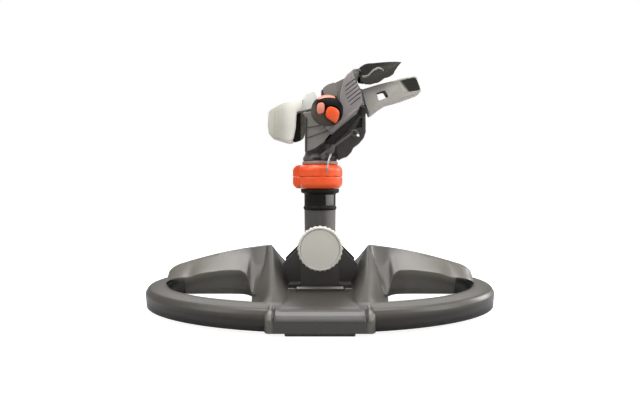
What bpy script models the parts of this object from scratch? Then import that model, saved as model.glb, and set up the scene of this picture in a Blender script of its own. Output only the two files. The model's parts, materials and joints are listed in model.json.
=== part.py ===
"""An impulse sprinkler on a flat oval sled.

Frame: +X to the right and +Y away from someone facing the tilt knob, +Z up. The origin is on the
ground, under the riser. Lengths are in metres, and MM turns a size in millimetres into metres.
"""

import math

import bmesh
import bpy
import numpy as np
from mathutils import Matrix, Vector

MM = 0.001

# Clearances
GAP = 0.3 * MM  # between two pieces that touch on the real object
RUNNING_GAP = 0.4 * MM  # beside a face that moves past another

# Sled
SLED_HALF_LENGTH = 180 * MM
SLED_HALF_WIDTH = 112 * MM
RING_WIDTH = 23 * MM
RING_CREST = 24 * MM
SLED_LIFT = 4 * MM  # the foot plate holds the ring this far off the ground
SLED_WALL = 2.6 * MM
RIDGE_PEAK_X = 52.8 * MM
RIDGE_PEAK_Z = 62.1 * MM
RIDGE_FOOT_X = 41.6 * MM
RIDGE_FOOT_Y = 90 * MM
DECK_TOP = 23 * MM
FASCIA_Y = 113 * MM
WING_HALF_WIDTH = 22 * MM
WING_EDGE_Z = 15 * MM  # the wing's open lower edge
FOOT_HALF_LENGTH = 108 * MM
FOOT_HALF_WIDTH = 29.4 * MM

# Riser pivot
PIVOT_Z = 64.3 * MM
SPINDLE_R = 9 * MM
SPINDLE_BORE_R = 6 * MM
BARREL_R = 17.5 * MM
BARREL_HALF_LENGTH = 16.7 * MM
CHEEK_THICKNESS = 5 * MM
CHEEK_HALF_WIDTH = 37.5 * MM
CHEEK_FOOT_HALF_WIDTH = 31.5 * MM  # narrower at the deck, to clear the rails
CHEEK_SHOULDER_Z = 45.7 * MM
BOSS_FRONT_Y = -39 * MM
KNOB_R = 21.8 * MM
KNOB_THICKNESS = 10.5 * MM
KNOB_RIBS = 28

# Riser and bearing
RISER_R = 16.5 * MM
RISER_BORE_R = 13 * MM
RISER_TOP = 113 * MM
SPIGOT_R = 14 * MM  # the riser's reduced end, inside the bearing sleeve
SLEEVE_FOOT_Z = 99.4 * MM
SLEEVE_R = 16.4 * MM
BEAD_R = 17.4 * MM
FLANGE_R = 20 * MM
FLANGE_LOW = 117 * MM
FLANGE_TOP = 121.2 * MM
JOURNAL_R = 15 * MM
RING_R = 23.4 * MM
RING_HEIGHT = 12 * MM
LUG_R = 28.5 * MM
CAP_R = 18.6 * MM
CAP_HEIGHT = 3.9 * MM
SWIVEL_R = 8.5 * MM
SWIVEL_BORE_R = 6 * MM

# Head: the arm's pivot and the jet share one tilted frame
ARM_PIVOT = Vector((18 * MM, 0, 221 * MM))
JET_TILT = math.radians(18)
JET_DROP = 17.5 * MM  # the jet's line lies this far below the arm's pivot

TURN_SIDES = 36


def clear_scene():
    """Removes every object that is there, so that a second run starts from nothing."""
    for old in list(bpy.data.objects):
        bpy.data.objects.remove(old, do_unlink=True)


def plastic(name, colour, roughness=0.45, metallic=0.0):
    """A Principled material with one colour."""
    material = bpy.data.materials.new(name)
    material.use_nodes = True
    shader = material.node_tree.nodes["Principled BSDF"]
    shader.inputs["Base Color"].default_value = (*colour, 1)
    shader.inputs["Roughness"].default_value = roughness
    shader.inputs["Metallic"].default_value = metallic
    material.diffuse_color = (*colour, 1)
    return material


def solid(name, points, faces, material=None, place=None):
    """An object from points and faces, its faces turned outwards. place is the matrix that its points are seen in."""
    mesh = bpy.data.meshes.new(name)
    mesh.from_pydata([tuple(p) for p in points], [], [tuple(f) for f in faces])
    work = bmesh.new()
    work.from_mesh(mesh)
    bmesh.ops.recalc_face_normals(work, faces=work.faces)
    work.to_mesh(mesh)
    work.free()
    made = bpy.data.objects.new(name, mesh)
    bpy.context.scene.collection.objects.link(made)
    if material:
        mesh.materials.append(material)
    if place is not None:
        made.matrix_world = place
    return made


def loft(name, sections, material=None, closed=False, place=None):
    """A solid through equal-sized sections, an array of section, point and coordinate. Its ends are capped unless it closes on itself."""
    sections = np.asarray(sections, float)
    count, size = sections.shape[:2]
    faces = []
    for i in range(count if closed else count - 1):
        low, high = i * size, (i + 1) % count * size
        faces += [
            (low + j, low + (j + 1) % size, high + (j + 1) % size, high + j)
            for j in range(size)
        ]
    if not closed:
        faces += [tuple(range(size)), tuple((count - 1) * size + j for j in range(size))]
    return solid(name, sections.reshape(-1, 3), faces, material, place)


def turned(name, profile, material=None, sides=TURN_SIDES, place=None):
    """A closed profile of (radius, height) points turned about Z. A point on the axis becomes a pole."""
    angles = np.arange(sides) * 2 * math.pi / sides
    points, rings = [], []
    for radius, height in profile:
        if radius < 1e-9:
            rings.append([len(points)] * sides)
            points.append((0, 0, height))
        else:
            rings.append(list(range(len(points), len(points) + sides)))
            points += [(radius * math.cos(a), radius * math.sin(a), height) for a in angles]
    faces = []
    for low, high in zip(rings, rings[1:] + rings[:1]):
        for j in range(sides):
            k = (j + 1) % sides
            corners = list(dict.fromkeys((low[j], low[k], high[k], high[j])))
            if len(corners) > 2:
                faces.append(corners)
    return solid(name, points, faces, material, place)


def prism(name, outline, low, high, material=None, place=None):
    """An outline of (x, z) points carried along Y from low to high."""
    sections = [[(x, y, z) for x, z in outline] for y in (low, high)]
    return loft(name, sections, material, place=place)


def block(name, low, high, material=None, place=None):
    """A box between two corners."""
    (x0, y0, z0), (x1, y1, z1) = low, high
    outline = [(x0, z0), (x1, z0), (x1, z1), (x0, z1)]
    return prism(name, outline, y0, y1, material, place)


def rod(name, start, end, radius, material=None, sides=24, bore=0.0, end_radius=None):
    """A round bar from start to end, with a bore through it where bore isn't 0, and tapered where end_radius is given."""
    start, end = Vector(start), Vector(end)
    length = (end - start).length
    last = radius if end_radius is None else end_radius
    if bore:
        profile = [(bore, 0), (radius, 0), (last, length), (bore, length)]
    else:
        profile = [(0, 0), (radius, 0), (last, length), (0, length)]
    turn = Vector((0, 0, 1)).rotation_difference(end - start).to_matrix().to_4x4()
    return turned(name, profile, material, sides, Matrix.Translation(start) @ turn)


def arc(centre, radius, start, end, count):
    """Points on a circle, from one angle to another in degrees, both ends included."""
    angles = np.radians(np.linspace(start, end, count))
    return [(centre[0] + radius * math.cos(a), centre[1] + radius * math.sin(a)) for a in angles]


def settle(made):
    """Turns an object's modifiers and its place into its own mesh."""
    bpy.context.view_layer.update()
    seen = made.evaluated_get(bpy.context.evaluated_depsgraph_get())
    mesh = bpy.data.meshes.new_from_object(seen)
    mesh.transform(made.matrix_world)
    old = made.data
    made.modifiers.clear()
    made.data = mesh
    made.matrix_world = Matrix.Identity(4)
    mesh.name = made.name
    bpy.data.meshes.remove(old)
    return made


def combine(made, others, operation):
    """Joins others to an object or cuts them from it, and removes them. All of them are closed meshes."""
    for other in others:
        step = made.modifiers.new(other.name, "BOOLEAN")
        step.operation = operation
        step.solver = "MANIFOLD"
        step.object = other
        settle(made)
        bpy.data.objects.remove(other, do_unlink=True)
    return made


def join(made, *others):
    return combine(made, others, "UNION")


def cut(made, *others):
    return combine(made, others, "DIFFERENCE")


def bevelled(made, width, segments=2, angle=35):
    """Rounds the edges that turn by more than an angle in degrees."""
    step = made.modifiers.new("edge", "BEVEL")
    step.width = width
    step.segments = segments
    step.limit_method = "ANGLE"
    step.angle_limit = math.radians(angle)
    step.use_clamp_overlap = True
    return settle(made)


def smooth(made, angle=32):
    """Shades the round faces smooth and keeps the sharp edges."""
    made.data.shade_smooth()
    made.data.set_sharp_from_angle(angle=math.radians(angle))
    return made


def turn_about(made, pivot):
    """Puts an object's origin on its joint's axis, with its shape left where it is."""
    settle(made)
    made.data.transform(Matrix.Translation(-Vector(pivot)))
    made.location = pivot
    return made


def mirrored(outline):
    """The other half of an outline, across X = 0, in the order that closes it."""
    return [(-x, z) for x, z in reversed(outline)]


def inset(outline, distance):
    """An outline of (x, z) points moved inwards: each edge by distance, and each corner to where its two edges then meet."""
    corners = np.array(outline, float)
    area = 0.5 * np.sum(
        corners[:, 0] * np.roll(corners[:, 1], -1) - corners[:, 1] * np.roll(corners[:, 0], -1)
    )
    along = np.roll(corners, -1, axis=0) - corners
    along /= np.linalg.norm(along, axis=1, keepdims=True)
    inward = np.stack([-along[:, 1], along[:, 0]], axis=1) * (1 if area > 0 else -1)
    before = np.roll(inward, 1, axis=0)
    middle = before + inward
    share = 2 / np.maximum(np.sum(middle * middle, axis=1, keepdims=True), 0.4)
    return (corners + middle * share * distance).tolist()


clear_scene()

SHELL_GREY = plastic("shell_grey", (0.115, 0.110, 0.105), 0.42)
COVER_GREY = plastic("cover_grey", (0.170, 0.158, 0.158), 0.40)
BLACK = plastic("black", (0.018, 0.018, 0.016), 0.45)
TUBE_GREY = plastic("tube_grey", (0.110, 0.105, 0.100), 0.35)
KNOB_GREY = plastic("knob_grey", (0.52, 0.50, 0.45), 0.5)
ARM_GREY = plastic("arm_grey", (0.48, 0.46, 0.44), 0.4)
WEIGHT_GREY = plastic("weight_grey", (0.70, 0.70, 0.64), 0.4)
ORANGE = plastic("orange", (0.83, 0.13, 0.035), 0.4)
CAP_GREY = plastic("cap_grey", (0.42, 0.36, 0.34), 0.4)
STEEL = plastic("steel", (0.60, 0.60, 0.58), 0.3, 1.0)
SEAL = plastic("seal_black", (0.012, 0.012, 0.012), 0.7)


# The sled. Each of its three forms is a function of how deep under the skin it lies, so that the
# same functions give the outer forms and, a wall further in, the cavities that are cut from them.


def open_below(outline, wall):
    """Lowers the foot of an inset outline past the skin's own foot, so that the cavity it cuts is open below."""
    if not wall:
        return outline
    foot = min(z for _, z in outline)
    return [(x, z - 2 * wall if z < foot + wall / 2 else z) for x, z in outline]


def ring_form(name, wall):
    """The oval ring: a crowned section carried round an ellipse."""
    share_and_drop = [(0, 7), (0.05, 4.6), (0.17, 2.6), (0.43, 0.9), (0.74, 0), (0.91, 0.5), (0.98, 2), (1, 4)]
    if wall:
        share_and_drop = [(0, 6), (0.2, 2.2), (0.74, 0), (1, 3)]
    width = RING_WIDTH - 2 * wall
    crest = RING_CREST - wall
    top = [(wall + share * width, crest - drop * MM) for share, drop in share_and_drop]
    outline = [(wall, SLED_LIFT), *top, (wall + width, SLED_LIFT)]
    outline = open_below(outline, wall)
    angles = np.linspace(0, 2 * math.pi, 60, endpoint=False)
    sections = [
        [
            ((SLED_HALF_LENGTH - n) * math.cos(a), (SLED_HALF_WIDTH - n) * math.sin(a), z)
            for n, z in outline
        ]
        for a in angles
    ]
    return loft(name, sections, SHELL_GREY, closed=True)


def wing_form(name, wall, side):
    """One wing: a roof-shaped bar from the rail out to the ring, flared where it leaves the rail. side is 1 or -1."""
    stations = np.array([RIDGE_PEAK_X / MM, 57, 62, 68, 76, 86, 97, 111, 125, 137, 145, 153, 158, 161]) * MM
    reach = SLED_HALF_LENGTH - RING_WIDTH + 4 * MM
    stations = RIDGE_PEAK_X + (stations - RIDGE_PEAK_X) * (reach - RIDGE_PEAK_X) / (stations[-1] - RIDGE_PEAK_X)
    if wall:
        stations = np.clip(stations, RIDGE_PEAK_X + wall, reach - wall)
        stations = stations[np.concatenate([[True], np.diff(stations) > 0])]
    peak = RIDGE_PEAK_Z - GAP
    along = np.array([52.8, 79, 111, 137, 145, 161]) * MM
    ridge = np.array([0, -1.8, -8.1, -15.5, -19.8, -24.6]) * MM + peak
    edge_along = np.array([52.8, 62, 70, 78, 106, 138, 161]) * MM
    edge = np.array([34, 36.5, 38, 39, 38, 32, 27]) * MM
    flare_along = np.array([52.8, 57, 62, 68, 76, 86]) * MM
    flare = np.array([13, 9.5, 6.5, 3.6, 1.2, 0]) * MM
    sections = []
    for x in stations:
        half = WING_HALF_WIDTH + np.interp(x, flare_along, flare)
        top = np.interp(x, along, ridge)
        low = np.interp(x, edge_along, edge)
        half_outline = [
            (half, WING_EDGE_Z),
            (half, low - 1.5 * MM),
            (half - 1.2 * MM, low + 0.6 * MM),
            (half * 0.55, low + (top - low) * 0.47),
            (3.5 * MM, top - 1.9 * MM),
            (1.2 * MM, top - 0.3 * MM),
        ]
        outline = half_outline + mirrored(half_outline)
        if wall:
            outline = open_below(inset(outline, wall), wall)
        sections.append([(side * x, y, z) for y, z in outline])
    return loft(name, sections, SHELL_GREY)


def centre_form(name, wall):
    """The two rails with the deck between them: one section carried from front to back."""
    stations = np.array([0, 10, 20, 32, 45, 60, 75, 90, 98, 103, 106.5, 109.3, 111.2, 111.6, 113]) * MM
    stations = stations * FASCIA_Y / stations[-1]
    if wall:
        stations = np.minimum(stations, FASCIA_Y - wall)[:-2]
    down = (RIDGE_PEAK_Z - RING_CREST) / RIDGE_FOOT_Y
    inward = (RIDGE_PEAK_X - RIDGE_FOOT_X) / RIDGE_FOOT_Y
    nose_y = np.array([98, 103, 106.5, 109.3, 111.2, 111.6, 113]) * MM * FASCIA_Y / (113 * MM)
    nose = np.array([0, -0.5, -2, -4.6, -7.6, -8.3, -8.7]) * MM
    outer_y = np.array([0, 27, 60, 100, 113]) * MM
    outer = np.array([72, 68, 58.5, 49, 46]) * MM
    inner_y = np.array([0, 20, 40, 75, 98, 113]) * MM
    inner = np.array([34, 34, 33, 29, 33, 38]) * MM
    sections = []
    for y in np.concatenate([-stations[:0:-1], stations]):
        far = abs(y)
        peak_x = max(RIDGE_PEAK_X - inward * far, RIDGE_FOOT_X - 1.5 * MM)
        fall = np.interp(far, nose_y, nose)
        peak_z = max(RIDGE_PEAK_Z - down * far, RING_CREST) + fall
        deck = DECK_TOP - 0.6 * MM + fall
        edge_x = np.interp(far, outer_y, outer)
        foot_x = np.interp(far, inner_y, inner)
        rise = peak_z - deck
        steep = np.clip(rise / (RIDGE_PEAK_Z - DECK_TOP), 0, 1)
        round_off = 0.05 * rise + 0.3 * MM
        half_outline = [
            (edge_x, SLED_LIFT),
            (edge_x, deck - 1.5 * MM),
            (peak_x + 1.6 * MM, peak_z - round_off),
            (peak_x, peak_z),
            (peak_x - 1.6 * MM, peak_z - round_off),
            (foot_x + 5 * MM * steep, deck + 0.5 * rise * steep),
            (foot_x - 1 * MM, deck),
        ]
        if wall:
            half_outline = [half_outline[i] for i in (0, 1, 3, 6)]
        outline = half_outline + mirrored(half_outline)
        if wall:
            outline = open_below(inset(outline, wall), wall)
        sections.append([(x, y, z) for x, z in outline])
    return loft(name, sections, SHELL_GREY)


RIB_THICKNESS = 2.2 * MM
RIB_Y = (22 * MM, 52 * MM, 84 * MM)  # the cross ribs that the foot plate bears on
SCREW_PLACES = [(x, y) for x in (-24 * MM, 24 * MM) for y in (-31 * MM, 31 * MM)]
SCREW_R = 1.7 * MM
SCREW_HEAD_R = 3.4 * MM
SCREW_BOSS_R = 4.6 * MM
FOOT_THICKNESS = SLED_LIFT - GAP


def sled_base():
    """The hollow sled: the three forms joined, their cavities cut out, then the ribs and screw bosses under the deck."""
    sled = join(
        ring_form("sled_base", 0),
        centre_form("centre", 0),
        wing_form("wing_right", 0, 1),
        wing_form("wing_left", 0, -1),
    )
    cut(
        sled,
        ring_form("ring_cavity", SLED_WALL),
        centre_form("centre_cavity", SLED_WALL),
        wing_form("wing_cavity_right", SLED_WALL, 1),
        wing_form("wing_cavity_left", SLED_WALL, -1),
    )
    under_deck = DECK_TOP - SLED_WALL
    foot = SLED_LIFT
    for side in (-1, 1):
        for y in RIB_Y:
            half = np.interp(y, [0, 60 * MM, 100 * MM], [64 * MM, 56 * MM, 47 * MM])
            middle = side * y
            join(
                sled,
                block(
                    "rib",
                    (-half, middle - RIB_THICKNESS / 2, foot),
                    (half, middle + RIB_THICKNESS / 2, under_deck),
                ),
            )
    for x, y in SCREW_PLACES:
        join(sled, rod("boss", (x, y, foot), (x, y, under_deck), SCREW_BOSS_R, sides=12))
    for x, y in SCREW_PLACES:
        hole_top = DECK_TOP + 5 * MM
        cut(sled, rod("hole", (x, y, 0), (x, y, hole_top), SCREW_R + GAP, sides=12))
    return smooth(sled, 28)


def foot_plate():
    """The plate that the sled stands on, with countersunk places for the four screws."""
    plate = block(
        "foot_plate",
        (-FOOT_HALF_WIDTH, -FOOT_HALF_LENGTH, 0),
        (FOOT_HALF_WIDTH, FOOT_HALF_LENGTH, FOOT_THICKNESS),
        SHELL_GREY,
    )
    bevelled(plate, 0.8 * MM, 1, 60)
    for x, y in SCREW_PLACES:
        cut(plate, rod("hole", (x, y, -MM), (x, y, 9 * MM), SCREW_R + GAP, sides=12))
        cut(plate, rod("head_room", (x, y, -MM), (x, y, 2.2 * MM), SCREW_HEAD_R + GAP, sides=12))
    return smooth(plate)


def base_screw(number, x, y):
    """A pan-head screw from under the foot plate up into the bracket."""
    head_low = 0.3 * MM
    head_top = 2.2 * MM - GAP
    tip = DECK_TOP + 4 * MM
    profile = [
        (0, head_low),
        (SCREW_HEAD_R - 0.6 * MM, head_low),
        (SCREW_HEAD_R, head_low + 0.6 * MM),
        (SCREW_HEAD_R, head_top),
        (SCREW_R, head_top),
        (SCREW_R, tip - MM),
        (SCREW_R * 0.5, tip),
        (0, tip),
    ]
    return smooth(turned(f"base_screw_{number}", profile, STEEL, 12, Matrix.Translation((x, y, 0))))


# The pivot: a bracket, a hollow spindle that the water comes in through, and the clamp knob.

BRACKET_LOW = DECK_TOP + GAP
FLOOR_THICKNESS = 4.5 * MM
CHEEK_IN_Y = BARREL_HALF_LENGTH + RUNNING_GAP
CHEEK_OUT_Y = CHEEK_IN_Y + CHEEK_THICKNESS
BOSS_HALF_WIDTH = 18.5 * MM
KNOB_BACK_Y = BOSS_FRONT_Y - GAP
KNOB_FRONT_Y = KNOB_BACK_Y - KNOB_THICKNESS
SPINDLE_FRONT_Y = KNOB_BACK_Y - 6 * MM
SPINDLE_REAR_Y = 44 * MM
PLUG_LENGTH = 30 * MM
ALONG_Y = Matrix.Rotation(math.radians(-90), 4, "X")  # turns a profile's height into +Y
PIVOT = Vector((0, 0, PIVOT_Z))


def turned_on_pivot(name, profile, material, sides=TURN_SIDES):
    """A profile of (radius, y) points turned about the riser's tilt axis."""
    return turned(name, profile, material, sides, Matrix.Translation(PIVOT) @ ALONG_Y)


def pivot_bracket():
    """A black cradle: a floor on the deck, two cheeks beside the riser's barrel, and the boss that the knob clamps against."""
    shoulder_z = PIVOT_Z - 4.4 * MM
    half = [
        (CHEEK_FOOT_HALF_WIDTH, BRACKET_LOW),
        (CHEEK_HALF_WIDTH, CHEEK_SHOULDER_Z - 3 * MM),
        (CHEEK_HALF_WIDTH, CHEEK_SHOULDER_Z),
        (CHEEK_HALF_WIDTH - (shoulder_z - CHEEK_SHOULDER_Z), shoulder_z),
    ]
    cheek_outline = [*half, *arc((0, PIVOT_Z), 15 * MM, 20, 160, 9), *mirrored(half)]
    floor_half_width = CHEEK_FOOT_HALF_WIDTH - 0.5 * MM
    floor_half_length = CHEEK_OUT_Y + 14 * MM
    bracket = block(
        "pivot_bracket",
        (-floor_half_width, -floor_half_length, BRACKET_LOW),
        (floor_half_width, floor_half_length, BRACKET_LOW + FLOOR_THICKNESS),
        BLACK,
    )
    for side in (-1, 1):
        faces = sorted((side * CHEEK_IN_Y, side * CHEEK_OUT_Y))
        join(bracket, prism("cheek", cheek_outline, *faces))
    boss_side = PIVOT_Z - 12 * MM
    boss_outline = [
        (BOSS_HALF_WIDTH, BRACKET_LOW),
        (BOSS_HALF_WIDTH, boss_side),
        *arc((0, PIVOT_Z), 17 * MM, 0, 180, 17),
        (-BOSS_HALF_WIDTH, boss_side),
        (-BOSS_HALF_WIDTH, BRACKET_LOW),
    ]
    join(bracket, prism("boss", boss_outline, BOSS_FRONT_Y, -CHEEK_OUT_Y + MM))
    rear_outline = arc((0, PIVOT_Z), 14 * MM, 0, 360, 33)[:-1]
    join(bracket, prism("rear_boss", rear_outline, CHEEK_OUT_Y - MM, CHEEK_OUT_Y + 8 * MM))
    for side in (-1, 1):
        low_x, high_x = sorted((side * 27 * MM, side * 30 * MM))
        brace = block(
            "brace",
            (low_x, -CHEEK_IN_Y - MM, BRACKET_LOW + MM),
            (high_x, CHEEK_IN_Y + MM, CHEEK_SHOULDER_Z - 4 * MM),
        )
        join(bracket, brace)
    bore = [(0, -80 * MM), (SPINDLE_R + GAP, -80 * MM), (SPINDLE_R + GAP, 80 * MM), (0, 80 * MM)]
    cut(bracket, turned_on_pivot("bore", bore, None, 32))
    for x, y in SCREW_PLACES:
        hole = rod("hole", (x, y, DECK_TOP - 2 * MM), (x, y, DECK_TOP + 4.3 * MM), SCREW_R + GAP, sides=12)
        cut(bracket, hole)
    return smooth(bracket)


def pivot_spindle():
    """The hollow shaft: closed at the knob's end, open at the rear, with a cross hole into the riser's barrel."""
    thread_r = SPINDLE_R - 1.5 * MM
    step_y = BOSS_FRONT_Y + 8 * MM
    profile = [
        (0, SPINDLE_FRONT_Y),
        (thread_r - MM, SPINDLE_FRONT_Y),
        (thread_r, SPINDLE_FRONT_Y + MM),
        (thread_r, step_y),
        (SPINDLE_R, step_y),
        (SPINDLE_R, SPINDLE_REAR_Y),
        (SPINDLE_BORE_R, SPINDLE_REAR_Y),
        (SPINDLE_BORE_R, -BARREL_HALF_LENGTH),
        (0, -BARREL_HALF_LENGTH),
    ]
    spindle = turned_on_pivot("pivot_spindle", profile, BLACK, 24)
    top = PIVOT_Z + SPINDLE_R + MM
    cut(spindle, rod("port", (0, 0, PIVOT_Z), (0, 0, top), 4.5 * MM, sides=16))
    return smooth(spindle)


def inlet_plug():
    """The quick-connect plug: a socket over the spindle's rear end, a grip collar, and the nose with its seal groove."""
    start = CHEEK_OUT_Y + 8 * MM + GAP
    nose = SPINDLE_REAR_Y + GAP
    end = nose + PLUG_LENGTH
    groove = end - 9 * MM
    profile = [
        (SPINDLE_R + GAP, start),
        (13.5 * MM, start),
        (13.5 * MM, nose),
        (10.2 * MM, nose + 2 * MM),
        (7.2 * MM, nose + 4 * MM),
        (7.2 * MM, nose + 7 * MM),
        (8.6 * MM, nose + 9 * MM),
        (8.6 * MM, groove),
        (6.9 * MM, groove),
        (6.9 * MM, groove + 2.6 * MM),
        (8.6 * MM, groove + 2.6 * MM),
        (8.6 * MM, end - 2 * MM),
        (7.4 * MM, end),
        (5.2 * MM, end),
        (5.2 * MM, nose),
        (SPINDLE_R + GAP, nose),
    ]
    return smooth(turned_on_pivot("inlet_plug", profile, BLACK, 24))


def o_ring(name, radius, along, thickness, sides=20):
    """A rubber ring about the tilt axis: the radius is that of its middle line."""
    profile = arc((radius, along), thickness / 2, 0, 360, 7)[:-1]
    return smooth(turned_on_pivot(name, profile, SEAL, sides), 60)


def knob_rim(steps_per_rib=3):
    """Points round the clamp knob's edge: a shallow wave for each grip rib."""
    count = KNOB_RIBS * steps_per_rib
    angles = np.arange(count) * 2 * math.pi / count
    wave = 0.45 * MM * (np.cos(angles * KNOB_RIBS) - 1)
    return angles, KNOB_R + wave


def tilt_knob():
    """The clamp knob: a ribbed rim round a shallow dish, threaded on the spindle's end."""
    angles, rim = knob_rim()
    levels = [
        (0.90, 0, KNOB_BACK_Y),
        (0.985, 0, KNOB_BACK_Y - 1.2 * MM),
        (1.0, 1, KNOB_BACK_Y - 3 * MM),
        (1.0, 1, KNOB_FRONT_Y + 2.2 * MM),
        (0.975, 0, KNOB_FRONT_Y + 0.7 * MM),
        (0.93, 0, KNOB_FRONT_Y),
        (0.885, 0, KNOB_FRONT_Y + 0.1 * MM),
        (0.865, 0, KNOB_FRONT_Y + 1.6 * MM),
    ]
    sections = []
    for share, wavy, y in levels:
        radius = share * (rim if wavy else np.full_like(rim, KNOB_R))
        sections.append([(r * math.cos(a), y, PIVOT_Z + r * math.sin(a)) for r, a in zip(radius, angles)])
    knob = loft("tilt_knob", sections, KNOB_GREY)
    thread_r = SPINDLE_R - 1.5 * MM + GAP
    end = SPINDLE_FRONT_Y - GAP
    bore = [(0, 0), (thread_r, 0), (thread_r, end), (0, end)]
    cut(knob, turned_on_pivot("bore", bore, None, 32))
    return turn_about(smooth(knob), PIVOT)


def tilt_knob_cap():
    """The disc that closes the knob's dish."""
    front = KNOB_FRONT_Y + 0.8 * MM
    back = KNOB_FRONT_Y + 1.6 * MM - GAP
    radius = 0.865 * KNOB_R - GAP
    profile = [
        (0, back),
        (radius, back),
        (radius, front + 0.3 * MM),
        (radius - 0.6 * MM, front),
        (radius * 0.6, front - 0.25 * MM),
        (0, front - 0.4 * MM),
    ]
    return turn_about(smooth(turned_on_pivot("tilt_knob_cap", profile, KNOB_GREY)), PIVOT)


# The riser and the bearing on its top.


def riser_tube():
    """The tube and its cross barrel, one moulding: the water comes in through the barrel's cross hole."""
    barrel = [
        (SPINDLE_R + GAP, -BARREL_HALF_LENGTH),
        (BARREL_R, -BARREL_HALF_LENGTH),
        (BARREL_R, BARREL_HALF_LENGTH),
        (SPINDLE_R + GAP, BARREL_HALF_LENGTH),
        (SPINDLE_R + GAP, 10.5 * MM),
        (SPINDLE_R + 1.8 * MM, 10.5 * MM),
        (SPINDLE_R + 1.8 * MM, 8 * MM),
        (SPINDLE_R + GAP, 8 * MM),
        (SPINDLE_R + GAP, -8 * MM),
        (SPINDLE_R + 1.8 * MM, -8 * MM),
        (SPINDLE_R + 1.8 * MM, -10.5 * MM),
        (SPINDLE_R + GAP, -10.5 * MM),
    ]
    low = PIVOT_Z + SPINDLE_R + 4 * MM
    shoulder = SLEEVE_FOOT_Z - GAP
    tube = [
        (0, low - 2 * MM),
        (RISER_R, low - 2 * MM),
        (RISER_R, shoulder),
        (SPIGOT_R, shoulder),
        (SPIGOT_R, RISER_TOP),
        (SPIGOT_R - 2.5 * MM, RISER_TOP),
        (SPIGOT_R - 2.5 * MM, shoulder),
        (RISER_BORE_R - 1.5 * MM, shoulder - 4 * MM),
        (RISER_BORE_R - 1.5 * MM, low + 3 * MM),
        (0, low + 3 * MM),
    ]
    riser = join(turned("riser_tube", tube, TUBE_GREY), turned_on_pivot("barrel", barrel, None))
    port_low, port_top = PIVOT_Z + SPINDLE_R - MM, low + 4 * MM
    cut(riser, rod("port", (0, 0, port_low), (0, 0, port_top), 4.5 * MM, sides=16))
    return turn_about(smooth(riser), PIVOT)


def bearing_sleeve():
    """The black sleeve over the riser's end: its bead, its flange, and the journal that the two rings turn on."""
    inner = SPIGOT_R + GAP
    floor = RISER_TOP + GAP
    journal_top = FLANGE_TOP + 2 * RING_HEIGHT + 3 * GAP
    profile = [
        (inner, SLEEVE_FOOT_Z),
        (BEAD_R - 0.6 * MM, SLEEVE_FOOT_Z),
        (BEAD_R, SLEEVE_FOOT_Z + 0.6 * MM),
        (BEAD_R, SLEEVE_FOOT_Z + 3.3 * MM),
        (SLEEVE_R, SLEEVE_FOOT_Z + 3.9 * MM),
        (SLEEVE_R, FLANGE_LOW - MM),
        (FLANGE_R - MM, FLANGE_LOW),
        (FLANGE_R, FLANGE_LOW + MM),
        (FLANGE_R, FLANGE_TOP),
        (JOURNAL_R, FLANGE_TOP),
        (JOURNAL_R, journal_top),
        (SWIVEL_R + GAP, journal_top),
        (SWIVEL_R + GAP, floor),
        (inner, floor),
    ]
    sleeve = turned("bearing_sleeve", profile, BLACK)
    latch = block("latch", (15 * MM, -4.5 * MM, 104 * MM), (17.3 * MM, 4.5 * MM, 116 * MM))
    bevelled(latch, 0.8 * MM, 2, 60)
    latch.matrix_world = Matrix.Rotation(math.radians(-48), 4, "Z")
    return turn_about(smooth(join(sleeve, latch)), PIVOT)


def sector_ring(name, low, lug_angle, low_edge, top_edge):
    """One of the two orange rings that set the watered sector: a collar with a finger lug that trips the wire."""
    top = low + RING_HEIGHT
    profile = [
        (JOURNAL_R + RUNNING_GAP, low),
        (RING_R - low_edge, low),
        (RING_R, low + low_edge),
        (RING_R, top - top_edge),
        (RING_R - top_edge, top),
        (JOURNAL_R + RUNNING_GAP, top),
    ]
    ring = turned(name, profile, ORANGE)
    half = 5.2 * MM
    lug_outline = [
        (JOURNAL_R + 3 * MM, low + 0.2 * MM),
        (LUG_R - low_edge, low + 0.2 * MM),
        (LUG_R, low + low_edge),
        (LUG_R, top - top_edge),
        (LUG_R - top_edge, top - 0.2 * MM),
        (JOURNAL_R + 3 * MM, top - 0.2 * MM),
    ]
    lug = prism("lug", lug_outline, -half, half)
    bevelled(lug, 0.4 * MM, 1, 60)
    lug.matrix_world = Matrix.Rotation(math.radians(lug_angle), 4, "Z")
    return turn_about(smooth(join(ring, lug)), (0, 0, low))


def ring_cap():
    """The pale retainer that holds the rings down on the journal."""
    low = FLANGE_TOP + 2 * RING_HEIGHT + 4 * GAP
    top = low + CAP_HEIGHT - GAP
    profile = [
        (SWIVEL_R + GAP, low),
        (CAP_R, low),
        (CAP_R, top - 0.8 * MM),
        (CAP_R - 0.8 * MM, top),
        (SWIVEL_R + GAP, top),
    ]
    return turn_about(smooth(turned("ring_cap", profile, CAP_GREY)), PIVOT)


# The head. HEAD is the tilted frame: its X runs out along the jet, its Z is the arm's axis, and its
# origin is the arm's pivot. Outlines in it are (along, up) from that pivot.

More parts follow.
